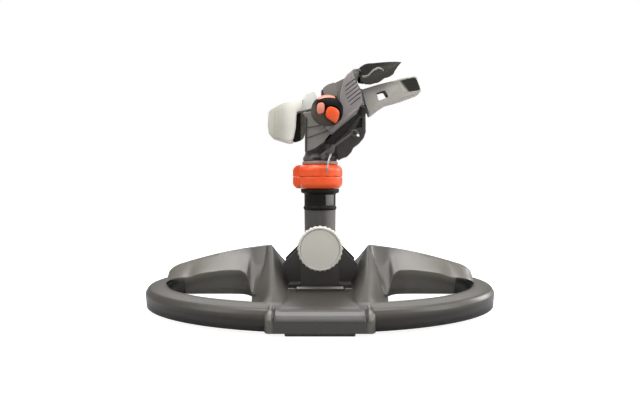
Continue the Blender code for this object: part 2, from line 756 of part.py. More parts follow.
HEAD = Matrix.Translation(ARM_PIVOT) @ Matrix.Rotation(-JET_TILT, 4, "Y")
BODY_HALF_WIDTH = 14.8 * MM
NECK_LOW = FLANGE_TOP + 2 * RING_HEIGHT + 3 * GAP + CAP_HEIGHT + 2 * GAP
NECK_R = 17.6 * MM
SOCKET_TOP = NECK_LOW + 14 * MM  # how far the swivel reaches up into the head
WATERWAY_TOP = 196 * MM
JET_BARREL_R = 8.2 * MM
JET_BORE_R = 4.6 * MM
NOZZLE_SEAT_R = 6.3 * MM
NOZZLE_BACK = 10 * MM
NOZZLE_FACE = 21.5 * MM
NOZZLE_EXIT_R = 2.8 * MM
WEB_THICKNESS = 3.8 * MM
PIN_R = 2.5 * MM
PIN_LOW = -11.5 * MM
HUB_R = 9 * MM
HUB_LOW = -8.8 * MM
HUB_TOP = -1.2 * MM
SLOT_TOP = 4.4 * MM  # the underside of the bridge over the arm
BRIDGE_TOP = 8.5 * MM
ARM_SWING = math.radians(24)
COVER_THICKNESS = 2.7 * MM
COVER_Y = -BODY_HALF_WIDTH - GAP
RANGE_CENTRE = Vector((7 * MM, -22.8 * MM, 197.8 * MM))
RANGE_TILT = math.radians(18)
RANGE_R = 16 * MM
RANGE_HEIGHT = 14 * MM
RANGE_STEM_R = 3 * MM
RANGE_STEM_DEPTH = 14 * MM
FLAP_HINGE = Vector((37.2 * MM, 0, 239.6 * MM))
FLAP_PIN_R = 1.3 * MM
TRIP_PIVOT = Vector((34.4 * MM, 0, 177.4 * MM))
TRIP_PIN_R = 1.6 * MM
ACROSS = Vector((0, 1, 0))


def head_body():
    """The main casting: neck, upright waterway, keel, jet barrel, two webs, a cheek and the bridge over the arm's slot."""
    neck = [
        (0, NECK_LOW),
        (NECK_R, NECK_LOW),
        (NECK_R, NECK_LOW + 3 * MM),
        (NECK_R - 2 * MM, NECK_LOW + 6.5 * MM),
        (NECK_R - 3.2 * MM, NECK_LOW + 16 * MM),
        (0, NECK_LOW + 16 * MM),
    ]
    body = turned("head_body", neck, SHELL_GREY)
    left = -15.4 * MM
    side = [
        (-4 * MM, 158.4 * MM),
        (11.3 * MM, 176.4 * MM),
        (24 * MM, 187.2 * MM),
        (37 * MM, 197.6 * MM),
        (40.5 * MM, 203.5 * MM),
        (24 * MM, 205 * MM),
        (-2 * MM, 200.8 * MM),
        (left - 2 * MM, 198.8 * MM),
        (left - 2 * MM, 197.2 * MM),
        (left, 195.6 * MM),
        (left, 158.4 * MM),
    ]
    flank = prism("flank", side, -BODY_HALF_WIDTH, BODY_HALF_WIDTH)
    keel = [
        (-4 * MM, 157 * MM),
        (9 * MM, 152.2 * MM),
        (15.8 * MM, 152.2 * MM),
        (15.8 * MM, 171.2 * MM),
        (26 * MM, 180 * MM),
        (38.4 * MM, 196.5 * MM),
        (32 * MM, 199 * MM),
        (0, 178 * MM),
    ]
    keel = prism("keel", keel, -8 * MM, 8 * MM)
    start, end = HEAD @ Vector((-24 * MM, 0, -JET_DROP)), HEAD @ Vector((NOZZLE_FACE, 0, -JET_DROP))
    barrel = rod("barrel", start, end, JET_BARREL_R, sides=32)
    front_web = [
        (-3 * MM, -20 * MM),
        (21.2 * MM, -22 * MM),
        (22.6 * MM, -7.5 * MM),
        (21.1 * MM, 0.5 * MM),
        (23.4 * MM, BRIDGE_TOP + 4 * MM),
        (12 * MM, BRIDGE_TOP + MM),
        (-3 * MM, BRIDGE_TOP - MM),
    ]
    front_web = prism("front_web", front_web, -BODY_HALF_WIDTH, WEB_THICKNESS - BODY_HALF_WIDTH, place=HEAD)
    rear_web = [
        (-22 * MM, -18 * MM),
        (-11 * MM, -18 * MM),
        (-11 * MM, SLOT_TOP + MM),
        (-16 * MM, SLOT_TOP + MM),
    ]
    rear_web = prism("rear_web", rear_web, BODY_HALF_WIDTH - WEB_THICKNESS, BODY_HALF_WIDTH, place=HEAD)
    cheek = [
        (-14.2 * MM, -0.8 * MM),
        (-2 * MM, -0.8 * MM),
        (-2 * MM, BRIDGE_TOP),
        (-8 * MM, BRIDGE_TOP - 0.3 * MM),
        (-13 * MM, BRIDGE_TOP - 1.9 * MM),
        (-14.2 * MM, SLOT_TOP + 1.2 * MM),
    ]
    cheek = prism("cheek", cheek, -BODY_HALF_WIDTH, 1.8 * MM - BODY_HALF_WIDTH, place=HEAD)
    bridge = [
        (-17 * MM, SLOT_TOP),
        (21.4 * MM, SLOT_TOP),
        (21.2 * MM, 7 * MM),
        (17.5 * MM, BRIDGE_TOP + 2 * MM),
        (14 * MM, BRIDGE_TOP + 1.6 * MM),
        (8 * MM, BRIDGE_TOP),
        (-8 * MM, BRIDGE_TOP - 0.2 * MM),
        (-13 * MM, BRIDGE_TOP - 1.8 * MM),
    ]
    bridge = prism("bridge", bridge, -BODY_HALF_WIDTH, BODY_HALF_WIDTH, place=HEAD)
    for piece in (flank, bridge):
        bevelled(piece, 1.6 * MM, 2, 50)
    join(body, flank, keel, barrel, front_web, rear_web, bridge, cheek)
    ear = [
        (6 * MM, BRIDGE_TOP - 2 * MM),
        (21 * MM, SLOT_TOP + 0.4 * MM),
        (27.6 * MM, 9.4 * MM),
        (27.8 * MM, 14.2 * MM),
        (22 * MM, 15.8 * MM),
        (14 * MM, 12.4 * MM),
    ]
    for side in (-1, 1):
        faces = sorted((side * (BODY_HALF_WIDTH - WEB_THICKNESS), side * BODY_HALF_WIDTH))
        join(body, bevelled(prism("ear", ear, *faces, place=HEAD), 0.8 * MM, 1, 40))
    inward = Vector((0, math.cos(RANGE_TILT), -math.sin(RANGE_TILT)))
    collar = rod("collar", RANGE_CENTRE + inward * RUNNING_GAP, RANGE_CENTRE + inward * 12 * MM, 6.5 * MM, sides=24)
    join(body, collar)
    bore_start = HEAD @ Vector((-22 * MM, 0, -JET_DROP))
    seat_start = HEAD @ Vector((NOZZLE_BACK, 0, -JET_DROP))
    past_face = HEAD @ Vector((NOZZLE_FACE + 5 * MM, 0, -JET_DROP))
    pin_low = HEAD @ Vector((0, 0, PIN_LOW - GAP))
    pin_top = HEAD @ Vector((0, 0, 30 * MM))
    stem_in = RANGE_CENTRE + inward * RANGE_STEM_DEPTH
    cut(
        body,
        rod("socket", (0, 0, NECK_LOW - MM), (0, 0, SOCKET_TOP + GAP), SWIVEL_R + GAP, sides=32),
        rod("waterway", (0, 0, NECK_LOW), (0, 0, WATERWAY_TOP), SWIVEL_BORE_R, sides=32),
        rod("jet_bore", bore_start, past_face, JET_BORE_R, sides=32),
        rod("nozzle_seat", seat_start, past_face, NOZZLE_SEAT_R, sides=32),
        rod("pin_hole", pin_low, pin_top, PIN_R + GAP / 2, sides=24),
        rod("stem_hole", RANGE_CENTRE - inward * MM, stem_in, RANGE_STEM_R + GAP, sides=24),
        rod("hinge_hole", FLAP_HINGE - ACROSS * 20 * MM, FLAP_HINGE + ACROSS * 20 * MM, FLAP_PIN_R + GAP / 2, sides=16),
    )
    return smooth(body)


def side_cover():
    """The grooved cover on the near side, with a raised lip along its lower edge."""
    outline = [
        (23.5 * MM, 231.2 * MM),
        (29.5 * MM, 237.6 * MM),
        (33 * MM, 240 * MM),
        (36.2 * MM, 229 * MM),
        (40.4 * MM, 221 * MM),
        (43 * MM, 208 * MM),
        (38.4 * MM, 201.6 * MM),
        (25.5 * MM, 189.9 * MM),
        (11.5 * MM, 177.7 * MM),
        (4.6 * MM, 182.6 * MM),
        (19 * MM, 197 * MM),
        (19.8 * MM, 216.5 * MM),
    ]
    outer = COVER_Y - COVER_THICKNESS
    cover = bevelled(prism("side_cover", outline, outer, COVER_Y, COVER_GREY), 0.9 * MM, 2, 40)
    lip = [
        (39.2 * MM, 203.6 * MM),
        (37.2 * MM, 200.4 * MM),
        (25.5 * MM, 189.9 * MM),
        (12.2 * MM, 178.3 * MM),
        (9.4 * MM, 180.4 * MM),
        (22 * MM, 191.8 * MM),
    ]
    join(cover, bevelled(prism("lip", lip, outer - 1.2 * MM, COVER_Y - MM), 0.5 * MM, 1, 40))
    slope = math.radians(38)
    lengths = (15, 16.5, 17.5, 17, 15.5, 13)
    for i, length in enumerate(lengths):
        middle = Vector((31 * MM + i * 0.9 * MM, 0, 228.6 * MM - i * 3.8 * MM))
        along = Vector((math.cos(slope), 0, math.sin(slope)))
        start, end = middle - along * length * MM / 2, middle + along * length * MM / 2
        place = Matrix.Translation(start) @ Matrix.Rotation(-slope, 4, "Y")
        size = (end - start).length
        groove = block("groove", (0, outer - MM, -0.45 * MM), (size, outer + 0.7 * MM, 0.45 * MM), place=place)
        cut(cover, groove)
    return smooth(cover)


def nozzle():
    """The jet nozzle in its seat at the barrel's mouth."""
    start = HEAD @ Vector((NOZZLE_BACK + GAP, 0, -JET_DROP))
    reach = NOZZLE_FACE - NOZZLE_BACK - GAP
    profile = [
        (JET_BORE_R, 0),
        (NOZZLE_SEAT_R - GAP, 0),
        (NOZZLE_SEAT_R - GAP, reach),
        (NOZZLE_EXIT_R, reach),
        (NOZZLE_EXIT_R, reach - 3 * MM),
    ]
    turn = Vector((0, 0, 1)).rotation_difference(HEAD.to_3x3() @ Vector((1, 0, 0))).to_matrix().to_4x4()
    return smooth(turned("nozzle", profile, BLACK, 32, Matrix.Translation(start) @ turn))


def head_spindle():
    """The hollow swivel: it hangs in the bearing by its lower flange and carries the head."""
    flange_top = RISER_TOP - 3.4 * MM
    outer = SPIGOT_R - 2.5 * MM - GAP
    profile = [
        (SWIVEL_BORE_R, flange_top - 2 * MM),
        (outer, flange_top - 2 * MM),
        (outer, flange_top),
        (SWIVEL_R, flange_top),
        (SWIVEL_R, SOCKET_TOP),
        (SWIVEL_BORE_R, SOCKET_TOP),
    ]
    return smooth(turned("head_spindle", profile, STEEL, 24))


def washer(name, low, height, material):
    """A flat ring round the swivel, in the riser's mouth."""
    inner, outer = SWIVEL_R + GAP, SPIGOT_R - 2.5 * MM - GAP
    profile = [(inner, low), (outer, low), (outer, low + height), (inner, low + height)]
    return smooth(turned(name, profile, material, 24))


def arm_pin():
    """The steel pin that the arm swings on, with its head on the bridge."""
    profile = [
        (0, PIN_LOW),
        (PIN_R, PIN_LOW),
        (PIN_R, BRIDGE_TOP + GAP),
        (PIN_R + 2 * MM, BRIDGE_TOP + GAP),
        (PIN_R + 2 * MM, BRIDGE_TOP + 1.4 * MM),
        (PIN_R + 1.2 * MM, BRIDGE_TOP + 2 * MM),
        (0, BRIDGE_TOP + 2 * MM),
    ]
    return smooth(turned("arm_pin", profile, STEEL, 24, HEAD.copy()))


# The impulse arm and its counterweight, which swing together about the arm pin.

BUSH_R = 4.4 * MM
FRAME_BACK = 23.4 * MM
FRAME_HALF_WIDTH = 8 * MM
FRAME_WALL = 2.2 * MM
TONGUE_NEAR_Y = -5.5 * MM
TONGUE_FAR_Y = 8 * MM
WEIGHT_HALF_WIDTH = 14 * MM
WEIGHT_WALL = 2.2 * MM
SCOOP_OUTLINE = [(70.5 * MM, -9.8 * MM), (79.6 * MM, -11.2 * MM), (79.9 * MM, -24 * MM), (69.6 * MM, -21.5 * MM)]


def impulse_arm():
    """The arm: a hub on the pin, a box frame round the jet with a window and a side pocket at its tip, and a tongue for the weight."""
    hub = [(0, HUB_LOW), (HUB_R, HUB_LOW), (HUB_R, HUB_TOP), (0, HUB_TOP)]
    arm = turned("impulse_arm", hub, ARM_GREY, 32, HEAD.copy())
    neck = [
        (0, HUB_LOW),
        (FRAME_BACK + 3 * MM, HUB_LOW),
        (FRAME_BACK + 3 * MM, -6 * MM),
        (20.6 * MM, HUB_TOP - MM),
        (14 * MM, HUB_TOP),
        (0, HUB_TOP),
    ]
    neck = bevelled(prism("neck", neck, -FRAME_HALF_WIDTH + MM, FRAME_HALF_WIDTH - MM, place=HEAD), MM, 1, 40)
    frame = [
        (FRAME_BACK, -5.6 * MM),
        (40 * MM, -5.9 * MM),
        (51 * MM, -6.6 * MM),
        (69.5 * MM, -7.7 * MM),
        (80.4 * MM, -9.2 * MM),
        (82.4 * MM, -11.5 * MM),
        (82.4 * MM, -25.5 * MM),
        (79 * MM, -27.8 * MM),
        (60 * MM, -28.6 * MM),
        (43 * MM, -27.9 * MM),
        (35.7 * MM, -29.9 * MM),
        (27 * MM, -33.2 * MM),
        (FRAME_BACK, -33.8 * MM),
    ]
    frame = prism("frame", frame, -FRAME_HALF_WIDTH, FRAME_HALF_WIDTH, place=HEAD)
    bevelled(frame, 1.2 * MM, 2, 40)
    tongue = [
        (0, HUB_LOW),
        (-24 * MM, -7.5 * MM),
        (-34.5 * MM, -7.5 * MM),
        (-47 * MM, -6 * MM),
        (-47 * MM, 3.4 * MM),
        (-35.6 * MM, 2.6 * MM),
        (-34.2 * MM, 8.6 * MM),
        (-27.5 * MM, 9.3 * MM),
        (-24.4 * MM, 6.5 * MM),
        (-23.6 * MM, 2 * MM),
        (-12 * MM, HUB_TOP),
        (0, HUB_TOP),
    ]
    tongue = bevelled(prism("tongue", tongue, TONGUE_NEAR_Y, TONGUE_FAR_Y, place=HEAD), 0.8 * MM, 1, 40)
    join(arm, neck, frame, tongue)
    inner = FRAME_HALF_WIDTH - FRAME_WALL
    half = 7.2 * MM
    channel = block(
        "channel",
        (FRAME_BACK - 2 * MM, -inner, -JET_DROP - half),
        (71.5 * MM, inner, -JET_DROP + half),
        place=HEAD,
    )
    window = [(37.6 * MM, -13.2 * MM), (46.8 * MM, -13.6 * MM), (48.4 * MM, -21.4 * MM), (37.4 * MM, -22 * MM)]
    window = bevelled(prism("window", window, -20 * MM, 20 * MM, place=HEAD), 1.2 * MM, 2, 40)
    pocket = prism("pocket", SCOOP_OUTLINE, -20 * MM, inner, place=HEAD)
    bore_low, bore_top = (HEAD @ Vector((0, 0, c)) for c in (HUB_LOW - MM, HUB_TOP + MM))
    cut(arm, channel, window, pocket, rod("bore", bore_low, bore_top, BUSH_R + GAP / 2, sides=24))
    return turn_about(smooth(arm), ARM_PIVOT)


def arm_bush():
    """The plain bearing in the hub."""
    profile = [
        (PIN_R + GAP / 2, HUB_LOW),
        (BUSH_R, HUB_LOW),
        (BUSH_R, HUB_TOP),
        (PIN_R + GAP / 2, HUB_TOP),
    ]
    return turn_about(smooth(turned("arm_bush", profile, SEAL, 24, HEAD.copy())), ARM_PIVOT)


def scoop_insert():
    """The dark scoop in the arm's tip: it turns the jet out sideways, and the arm is kicked away."""
    inner = FRAME_HALF_WIDTH - FRAME_WALL - GAP
    outline = inset([(x, z) for x, z in SCOOP_OUTLINE], GAP)
    mouth_y = -FRAME_HALF_WIDTH + 0.8 * MM
    scoop = prism("scoop_insert", outline, mouth_y, inner, BLACK, HEAD.copy())
    settle(scoop)
    top, low = (HEAD @ Vector((69.2 * MM, mouth_y - 2.2 * MM, c)) for c in (-5 * MM, -30 * MM))
    cut(scoop, rod("hollow", low, top, 9 * MM, sides=32))
    return turn_about(smooth(scoop), ARM_PIVOT)


SPRING_WIRE_R = 0.45 * MM
SPRING_R = 5.2 * MM
SPRING_CURLS = 2.8
SPRING_PITCH = 1.35 * MM


def torsion_spring():
    """The arm's return spring: open curls round the pin, between the hub and the bridge."""
    points_per_curl = 10
    low = HUB_TOP + GAP + SPRING_WIRE_R
    turns = np.linspace(0, SPRING_CURLS, int(SPRING_CURLS * points_per_curl) + 1)
    angles = turns * 2 * math.pi
    route = np.stack([SPRING_R * np.cos(angles), SPRING_R * np.sin(angles), low + SPRING_PITCH * turns], axis=1)
    spans = np.linalg.norm(route[:, None] - route[None], axis=2)
    far = np.abs(np.subtract.outer(np.arange(len(route)), np.arange(len(route)))) > points_per_curl // 2
    print("torsion spring: least gap between curls", round((spans[far].min() - 2 * SPRING_WIRE_R) / MM, 2), "mm")
    return tube("torsion_spring", route, SPRING_WIRE_R, 6, STEEL, HEAD)


def tube(name, route, radius, sides, material, place=None):
    """A round wire along a route of points: each ring stands square to the route."""
    route = np.asarray(route, float)
    along = np.gradient(route, axis=0)
    along /= np.linalg.norm(along, axis=1, keepdims=True)
    side = np.zeros_like(route)
    first = np.cross(along[0], (0.31, 0.17, 0.93))
    side[0] = first / np.linalg.norm(first)
    for i in range(1, len(route)):
        step = side[i - 1] - along[i] * np.dot(side[i - 1], along[i])
        side[i] = step / np.linalg.norm(step)
    other = np.cross(along, side)
    angles = np.arange(sides) * 2 * math.pi / sides
    rings = [
        route[i] + radius * (np.cos(angles)[:, None] * side[i] + np.sin(angles)[:, None] * other[i])
        for i in range(len(route))
    ]
    made = loft(name, rings, material, place=place.copy() if place else None)
    return smooth(settle(made), 60)


def counterweight():
    """The hollow weight: a shell open towards the head, held on the arm's tongue."""
    outline = [
        (-17.4 * MM, 214.9 * MM),
        (-35.9 * MM, 210.8 * MM),
        (-49.6 * MM, 203.4 * MM),
        (-52.6 * MM, 199.4 * MM),
        (-53.4 * MM, 186.2 * MM),
        (-52.4 * MM, 177.9 * MM),
        (-49.2 * MM, 173.8 * MM),
        (-35.9 * MM, 169.7 * MM),
        (-29.8 * MM, 168.7 * MM),
        (-26.7 * MM, 172.8 * MM),
        (-24.6 * MM, 183.1 * MM),
        (-23.6 * MM, 199.5 * MM),
        (-19 * MM, 201.3 * MM),
    ]
    shell = bevelled(prism("counterweight", outline, -WEIGHT_HALF_WIDTH, WEIGHT_HALF_WIDTH, WEIGHT_GREY), 2.4 * MM, 3, 50)
    hollow = [
        (0, 214.9 * MM),
        (-17.6 * MM, 212.5 * MM),
        (-35.4 * MM, 208.4 * MM),
        (-48 * MM, 201.6 * MM),
        (-50.4 * MM, 198.6 * MM),
        (-51.1 * MM, 186.2 * MM),
        (-50.2 * MM, 178.6 * MM),
        (-48 * MM, 175.9 * MM),
        (-35.6 * MM, 172 * MM),
        (-20 * MM, 170.4 * MM),
        (0, 172 * MM),
    ]
    inner = WEIGHT_HALF_WIDTH - WEIGHT_WALL
    hollow = bevelled(prism("hollow", hollow, -inner, inner), 1.2 * MM, 1, 50)
    return turn_about(smooth(cut(shell, hollow)), ARM_PIVOT)


# The deflector flap over the jet.


def deflector_flap():
    """A visor hinged at the hood: its sides droop most near the hinge and run out to a point."""
    stations = np.array([43, 47, 52, 58, 64, 70, 75, 79, 82.4, 84.6]) * MM
    along = np.array([43, 46, 57, 72, 84.6]) * MM
    top = np.array([246.5, 250, 251.9, 253.4, 253.6]) * MM
    low_along = np.array([43, 48, 58, 62, 72, 77, 81, 84.6]) * MM
    low = np.array([232, 229, 230.6, 233.4, 239.2, 245, 249, 252.2]) * MM
    wide_along = np.array([43, 58, 70, 78, 84.6]) * MM
    wide = np.array([15, 14, 10.5, 6.5, 2.2]) * MM
    turns = np.linspace(-90, 90, 11)
    wall = 2 * MM
    far_lift = 0.3  # how much less the far side droops than the near one
    sections = []
    for x in stations:
        roof, edge, half = np.interp(x, along, top), np.interp(x, low_along, low), np.interp(x, wide_along, wide)
        thin = min(wall, 0.4 * (roof - edge), 0.6 * half)
        outer, inner = [], []
        for t in turns:
            foot = edge + far_lift * (roof - edge) * (t > 0)
            across, up = math.sin(math.radians(t)), math.cos(math.radians(t))
            outer.append((half * across, foot + (roof - foot) * up))
            inner.append(((half - thin) * across, foot + (roof - thin - foot) * up))
        sections.append([(x, y, z) for y, z in outer + inner[::-1]])
    flap = loft("deflector_flap", sections, BLACK)
    inner_face = BODY_HALF_WIDTH - WEB_THICKNESS - RUNNING_GAP
    knuckle = rod("knuckle", FLAP_HINGE - ACROSS * inner_face, FLAP_HINGE + ACROSS * inner_face, 3.2 * MM, sides=20)
    arm_outline = [
        (FLAP_HINGE.x - 1 * MM, FLAP_HINGE.z + 0.5 * MM),
        (FLAP_HINGE.x + 2 * MM, FLAP_HINGE.z - 2 * MM),
        (45 * MM, 242 * MM),
        (46 * MM, 248.6 * MM),
        (43.2 * MM, 246 * MM),
    ]
    arms = prism("arms", arm_outline, -8.5 * MM, 8.5 * MM)
    join(flap, knuckle, arms)
    reach = ACROSS * 20 * MM
    cut(flap, rod("hole", FLAP_HINGE - reach, FLAP_HINGE + reach, FLAP_PIN_R + GAP / 2, sides=16))
    return turn_about(smooth(flap, 40), FLAP_HINGE)


def flap_pin():
    """The hinge pin through the two ears and the flap's knuckle."""
    reach = ACROSS * (BODY_HALF_WIDTH - 0.5 * MM)
    return smooth(rod("flap_pin", FLAP_HINGE - reach, FLAP_HINGE + reach, FLAP_PIN_R, STEEL, 16))


# The range knob on the near side, with its three coloured inlays.

RANGE_AXIS = Vector((0, -math.cos(RANGE_TILT), math.sin(RANGE_TILT)))
RANGE_FRAME = Matrix.Translation(RANGE_CENTRE) @ Vector((0, 0, 1)).rotation_difference(RANGE_AXIS).to_matrix().to_4x4()
INLAYS = {  # the middle (x, y) on the knob's face, the short way's direction, the bend's radius, the two half sizes
    "range_inlay_top": (0.4 * MM, 12 * MM, 95, 30 * MM, 2.6 * MM, 8.4 * MM),
    "range_inlay_left": (-6.3 * MM, -1.2 * MM, 180, 60 * MM, 3.7 * MM, 6.1 * MM),
    "range_inlay_right": (4.6 * MM, -6.9 * MM, -17, 90 * MM, 5.9 * MM, 6.6 * MM),
}
INLAY_PROUD = 0.5 * MM
POCKET_DEPTH = 1.5 * MM


def range_dome(name, grow, material=None):
    """The knob's dome, made larger all round by grow."""
    share_r, share_h = 1 + grow / RANGE_R, 1 + grow / RANGE_HEIGHT
    shape = [(0, 0), (0.948, 0), (1, 0.105), (1, 0.35), (0.922, 0.63), (0.715, 0.84), (0.39, 0.965), (0, 1)]
    profile = [(r * RANGE_R * share_r, h * RANGE_HEIGHT * share_h) for r, h in shape]
    return turned(name, profile, material, TURN_SIDES, RANGE_FRAME.copy())


def inlay_post(name, inlay, grow, material=None):
    """A bar along the knob's axis with an inlay's outline, a rounded square that may be bent, made larger by grow."""
    x, y, direction, bend, half_short, half_long = inlay
    facing = math.radians(direction)
    outline = []
    for t in np.linspace(0, 2 * math.pi, 24, endpoint=False):
        reach = 1 / (abs(math.cos(t)) ** 3 + abs(math.sin(t)) ** 3) ** (1 / 3)
        out = bend + (half_short + grow) * reach * math.cos(t)
        turn = facing + (half_long + grow) * reach * math.sin(t) / bend
        outline.append((
            x - bend * math.cos(facing) + out * math.cos(turn),
            -(y - bend * math.sin(facing) + out * math.sin(turn)),
        ))
    return prism(name, outline, 4 * MM, 20 * MM, material, RANGE_FRAME @ Matrix.Rotation(math.radians(90), 4, "X"))


def range_knob():
    """The domed knob, with a shallow pocket for each inlay and a blind hole for its stem."""
    knob = range_dome("range_knob", 0, BLACK)
    for inlay in INLAYS.values():
        pocket = cut(inlay_post("pocket", inlay, GAP), range_dome("inside", -POCKET_DEPTH))
        cut(knob, pocket)
    top = RANGE_CENTRE + RANGE_AXIS * (6 * MM + GAP)
    cut(knob, rod("stem_hole", RANGE_CENTRE - RANGE_AXIS * MM, top, RANGE_STEM_R + GAP, sides=24))
    return turn_about(smooth(knob), RANGE_CENTRE)


def range_inlay(name, outline):
    """One inlay: it follows the dome, a little proud of it."""
    inlay = inlay_post(name, outline, 0, ORANGE)
    combine(inlay, [range_dome("outside", INLAY_PROUD)], "INTERSECT")
    cut(inlay, range_dome("inside", -POCKET_DEPTH + GAP))
    return turn_about(smooth(inlay), RANGE_CENTRE)


def range_stem():
    """The stem that the knob turns on, from the knob into the body."""
    start = RANGE_CENTRE - RANGE_AXIS * (RANGE_STEM_DEPTH - GAP)
    return turn_about(smooth(rod("range_stem", start, RANGE_CENTRE + RANGE_AXIS * 6 * MM, RANGE_STEM_R, STEEL)), RANGE_CENTRE)


# The trip: a bracket under the jet barrel, and a lever whose wire the rings' lugs push.

TRIP_BRACKET_HALF_WIDTH = 9 * MM
TRIP_LEVER_Y = (-21.5 * MM, -18.8 * MM)
TRIP_WIRE_R = 0.9 * MM
TRIP_WIRE_TOP = Vector((12.4 * MM, -20.15 * MM, 164.6 * MM))


def trip_bracket():
    """The black bracket that carries the trip's pin, with a round hole through it."""
    outline = [
        (18.3 * MM, 154.4 * MM),
        (18.3 * MM, 151.8 * MM),
        (20.2 * MM, 151.2 * MM),
        (22.8 * MM, 152.8 * MM),
        (28.6 * MM, 154.8 * MM),
        (32.2 * MM, 158.6 * MM),
        (34.8 * MM, 163.8 * MM),
        (41 * MM, 168.4 * MM),
        (45.2 * MM, 173.6 * MM),
        (47.2 * MM, 179.8 * MM),
        (47 * MM, 199 * MM),
        (43.8 * MM, 200.2 * MM),
        (41.6 * MM, 197.4 * MM),
        (38.9 * MM, 196.1 * MM),
        (26.4 * MM, 179.5 * MM),
        (16.2 * MM, 170.9 * MM),
        (16.2 * MM, 158.6 * MM),
    ]
    half = TRIP_BRACKET_HALF_WIDTH
    bracket = bevelled(prism("trip_bracket", outline, -half, half, BLACK), 0.9 * MM, 1, 70)
    reach = ACROSS * 20 * MM
    see_through = Vector((39.5 * MM, 0, 177.4 * MM))
    cut(
        bracket,
        rod("see_through", see_through - reach, see_through + reach, 2.5 * MM, sides=24),
        rod("pin_hole", TRIP_PIVOT - reach, TRIP_PIVOT + reach, TRIP_PIN_R + GAP / 2, sides=16),
    )
    for side in (-1, 1):
        faces = sorted((side * 4 * MM, side * 12 * MM))
        recess = [(37 * MM, 184 * MM), (43.4 * MM, 184 * MM), (43.4 * MM, 194 * MM), (41.6 * MM, 194 * MM)]
        cut(bracket, prism("recess", recess, *faces))
    return smooth(bracket)


def trip_pin():
    """The pin that the trip lever flips on."""
    near = TRIP_PIVOT + ACROSS * (TRIP_LEVER_Y[0] - 0.8 * MM)
    far = TRIP_PIVOT + ACROSS * (TRIP_BRACKET_HALF_WIDTH + 0.8 * MM)
    return smooth(rod("trip_pin", near, far, TRIP_PIN_R, STEEL, 16))


def trip_lever():
    """The pale lever: a hub on the pin, a sloping bar, a short finger at its end, and the boss that holds the wire."""
    near, far = TRIP_LEVER_Y
    centre = (TRIP_PIVOT.x, TRIP_PIVOT.z)
    lever = prism("trip_lever", arc(centre, 5 * MM, 0, 360, 25)[:-1], near, far, ARM_GREY)
    bar = [
        (-1.5 * MM, 157.2 * MM),
        (0.6 * MM, 154.2 * MM),
        (31 * MM, 174.4 * MM),
        (34 * MM, 180.6 * MM),
        (29 * MM, 180 * MM),
    ]
    finger = [(-1.5 * MM, 157 * MM), (0.6 * MM, 149.2 * MM), (5 * MM, 150.2 * MM), (5 * MM, 157.6 * MM)]
    join(
        lever,
        prism("bar", bar, near + 0.2 * MM, far - 0.2 * MM),
        prism("finger", finger, near + 0.4 * MM, far - 0.4 * MM),
        rod("boss", TRIP_WIRE_TOP + Vector((0.4, 0, 1.6)) * MM, TRIP_WIRE_TOP - Vector((0.8, 0, 4.2)) * MM, 2.4 * MM, sides=16),
    )
    reach = ACROSS * 30 * MM
    down = Vector((-0.8, 0, -5)) * MM
    cut(
        lever,
        rod("pin_hole", TRIP_PIVOT - reach, TRIP_PIVOT + reach, TRIP_PIN_R + GAP / 2, sides=16),
        rod("wire_hole", TRIP_WIRE_TOP - down * 0.06, TRIP_WIRE_TOP + down * 2, TRIP_WIRE_R + GAP, sides=12),
    )
    return turn_about(smooth(lever), TRIP_PIVOT)


def trip_wire():
    """The wire that hangs from the lever beside the two rings."""
    corners = np.array([
        TRIP_WIRE_TOP,
        TRIP_WIRE_TOP + Vector((-0.8, 0, -5)) * MM,
        (11 * MM, -20.3 * MM, 156.6 * MM),
        (9.6 * MM, -22.2 * MM, 152.4 * MM),
        (8 * MM, -24.6 * MM, 147.5 * MM),
        (7 * MM, -25.8 * MM, 142 * MM),
        (6.5 * MM, -26 * MM, 136.8 * MM),
    ])
    wire = tube("trip_wire", corners, TRIP_WIRE_R, 12, STEEL)
    return turn_about(wire, TRIP_PIVOT)


def build():
    """Makes every piece where it belongs."""
    sled_base()
    foot_plate()
    for number, (x, y) in enumerate(SCREW_PLACES, 1):
        base_screw(number, x, y)
    pivot_bracket()
    pivot_spindle()
    inlet_plug()
    o_ring("inlet_seal", 8.2 * MM, SPINDLE_REAR_Y + GAP + PLUG_LENGTH - 7.7 * MM, 2 * MM)
    tilt_knob()
    tilt_knob_cap()
    riser_tube()
    for name, along in (("spindle_seal_front", -9.25 * MM), ("spindle_seal_rear", 9.25 * MM)):
        o_ring(name, SPINDLE_R + 0.9 * MM, along, 1.2 * MM, 24)
    bearing_sleeve()
    outer_edge, seam_edge = 3.4 * MM, 0.8 * MM
    sector_ring("lower_ring", FLANGE_TOP + GAP, 180, outer_edge, seam_edge)
    sector_ring("upper_ring", FLANGE_TOP + RING_HEIGHT + 2 * GAP, 180, seam_edge, outer_edge)
    ring_cap()
    head_body()
    side_cover()
    nozzle()
    head_spindle()
    washer("thrust_washer", RISER_TOP - 3.1 * MM, 1.5 * MM, ARM_GREY)
    washer("seal_washer", RISER_TOP - 1.3 * MM, 1.3 * MM, SEAL)
    arm_pin()
    torsion_spring()
    impulse_arm()
    arm_bush()
    scoop_insert()
    counterweight()
    deflector_flap()
    flap_pin()
    range_knob()
    for name, outline in INLAYS.items():
        range_inlay(name, outline)
    range_stem()
    trip_bracket()
    trip_pin()
    trip_lever()
    trip_wire()
    for made in bpy.context.scene.objects:
        print(made.name, len(made.data.polygons), "faces")


build()
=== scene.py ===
# %% [markdown]
# # An impulse sprinkler on its sled
# This lesson dresses a garden sprinkler for a studio picture. Its mechanics are already solved: a
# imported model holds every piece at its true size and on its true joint. What is left is what the eye
# judges, the soft curves of moulded plastic, its grain and gloss, and the light. Each cell makes one
# piece or one finish, and the note above it says what it is on the real object and why it is made so.

# %% The frame that everything is fitted to
import json
import math

import bmesh
import bpy
import numpy as np
from mathutils import Matrix, Vector


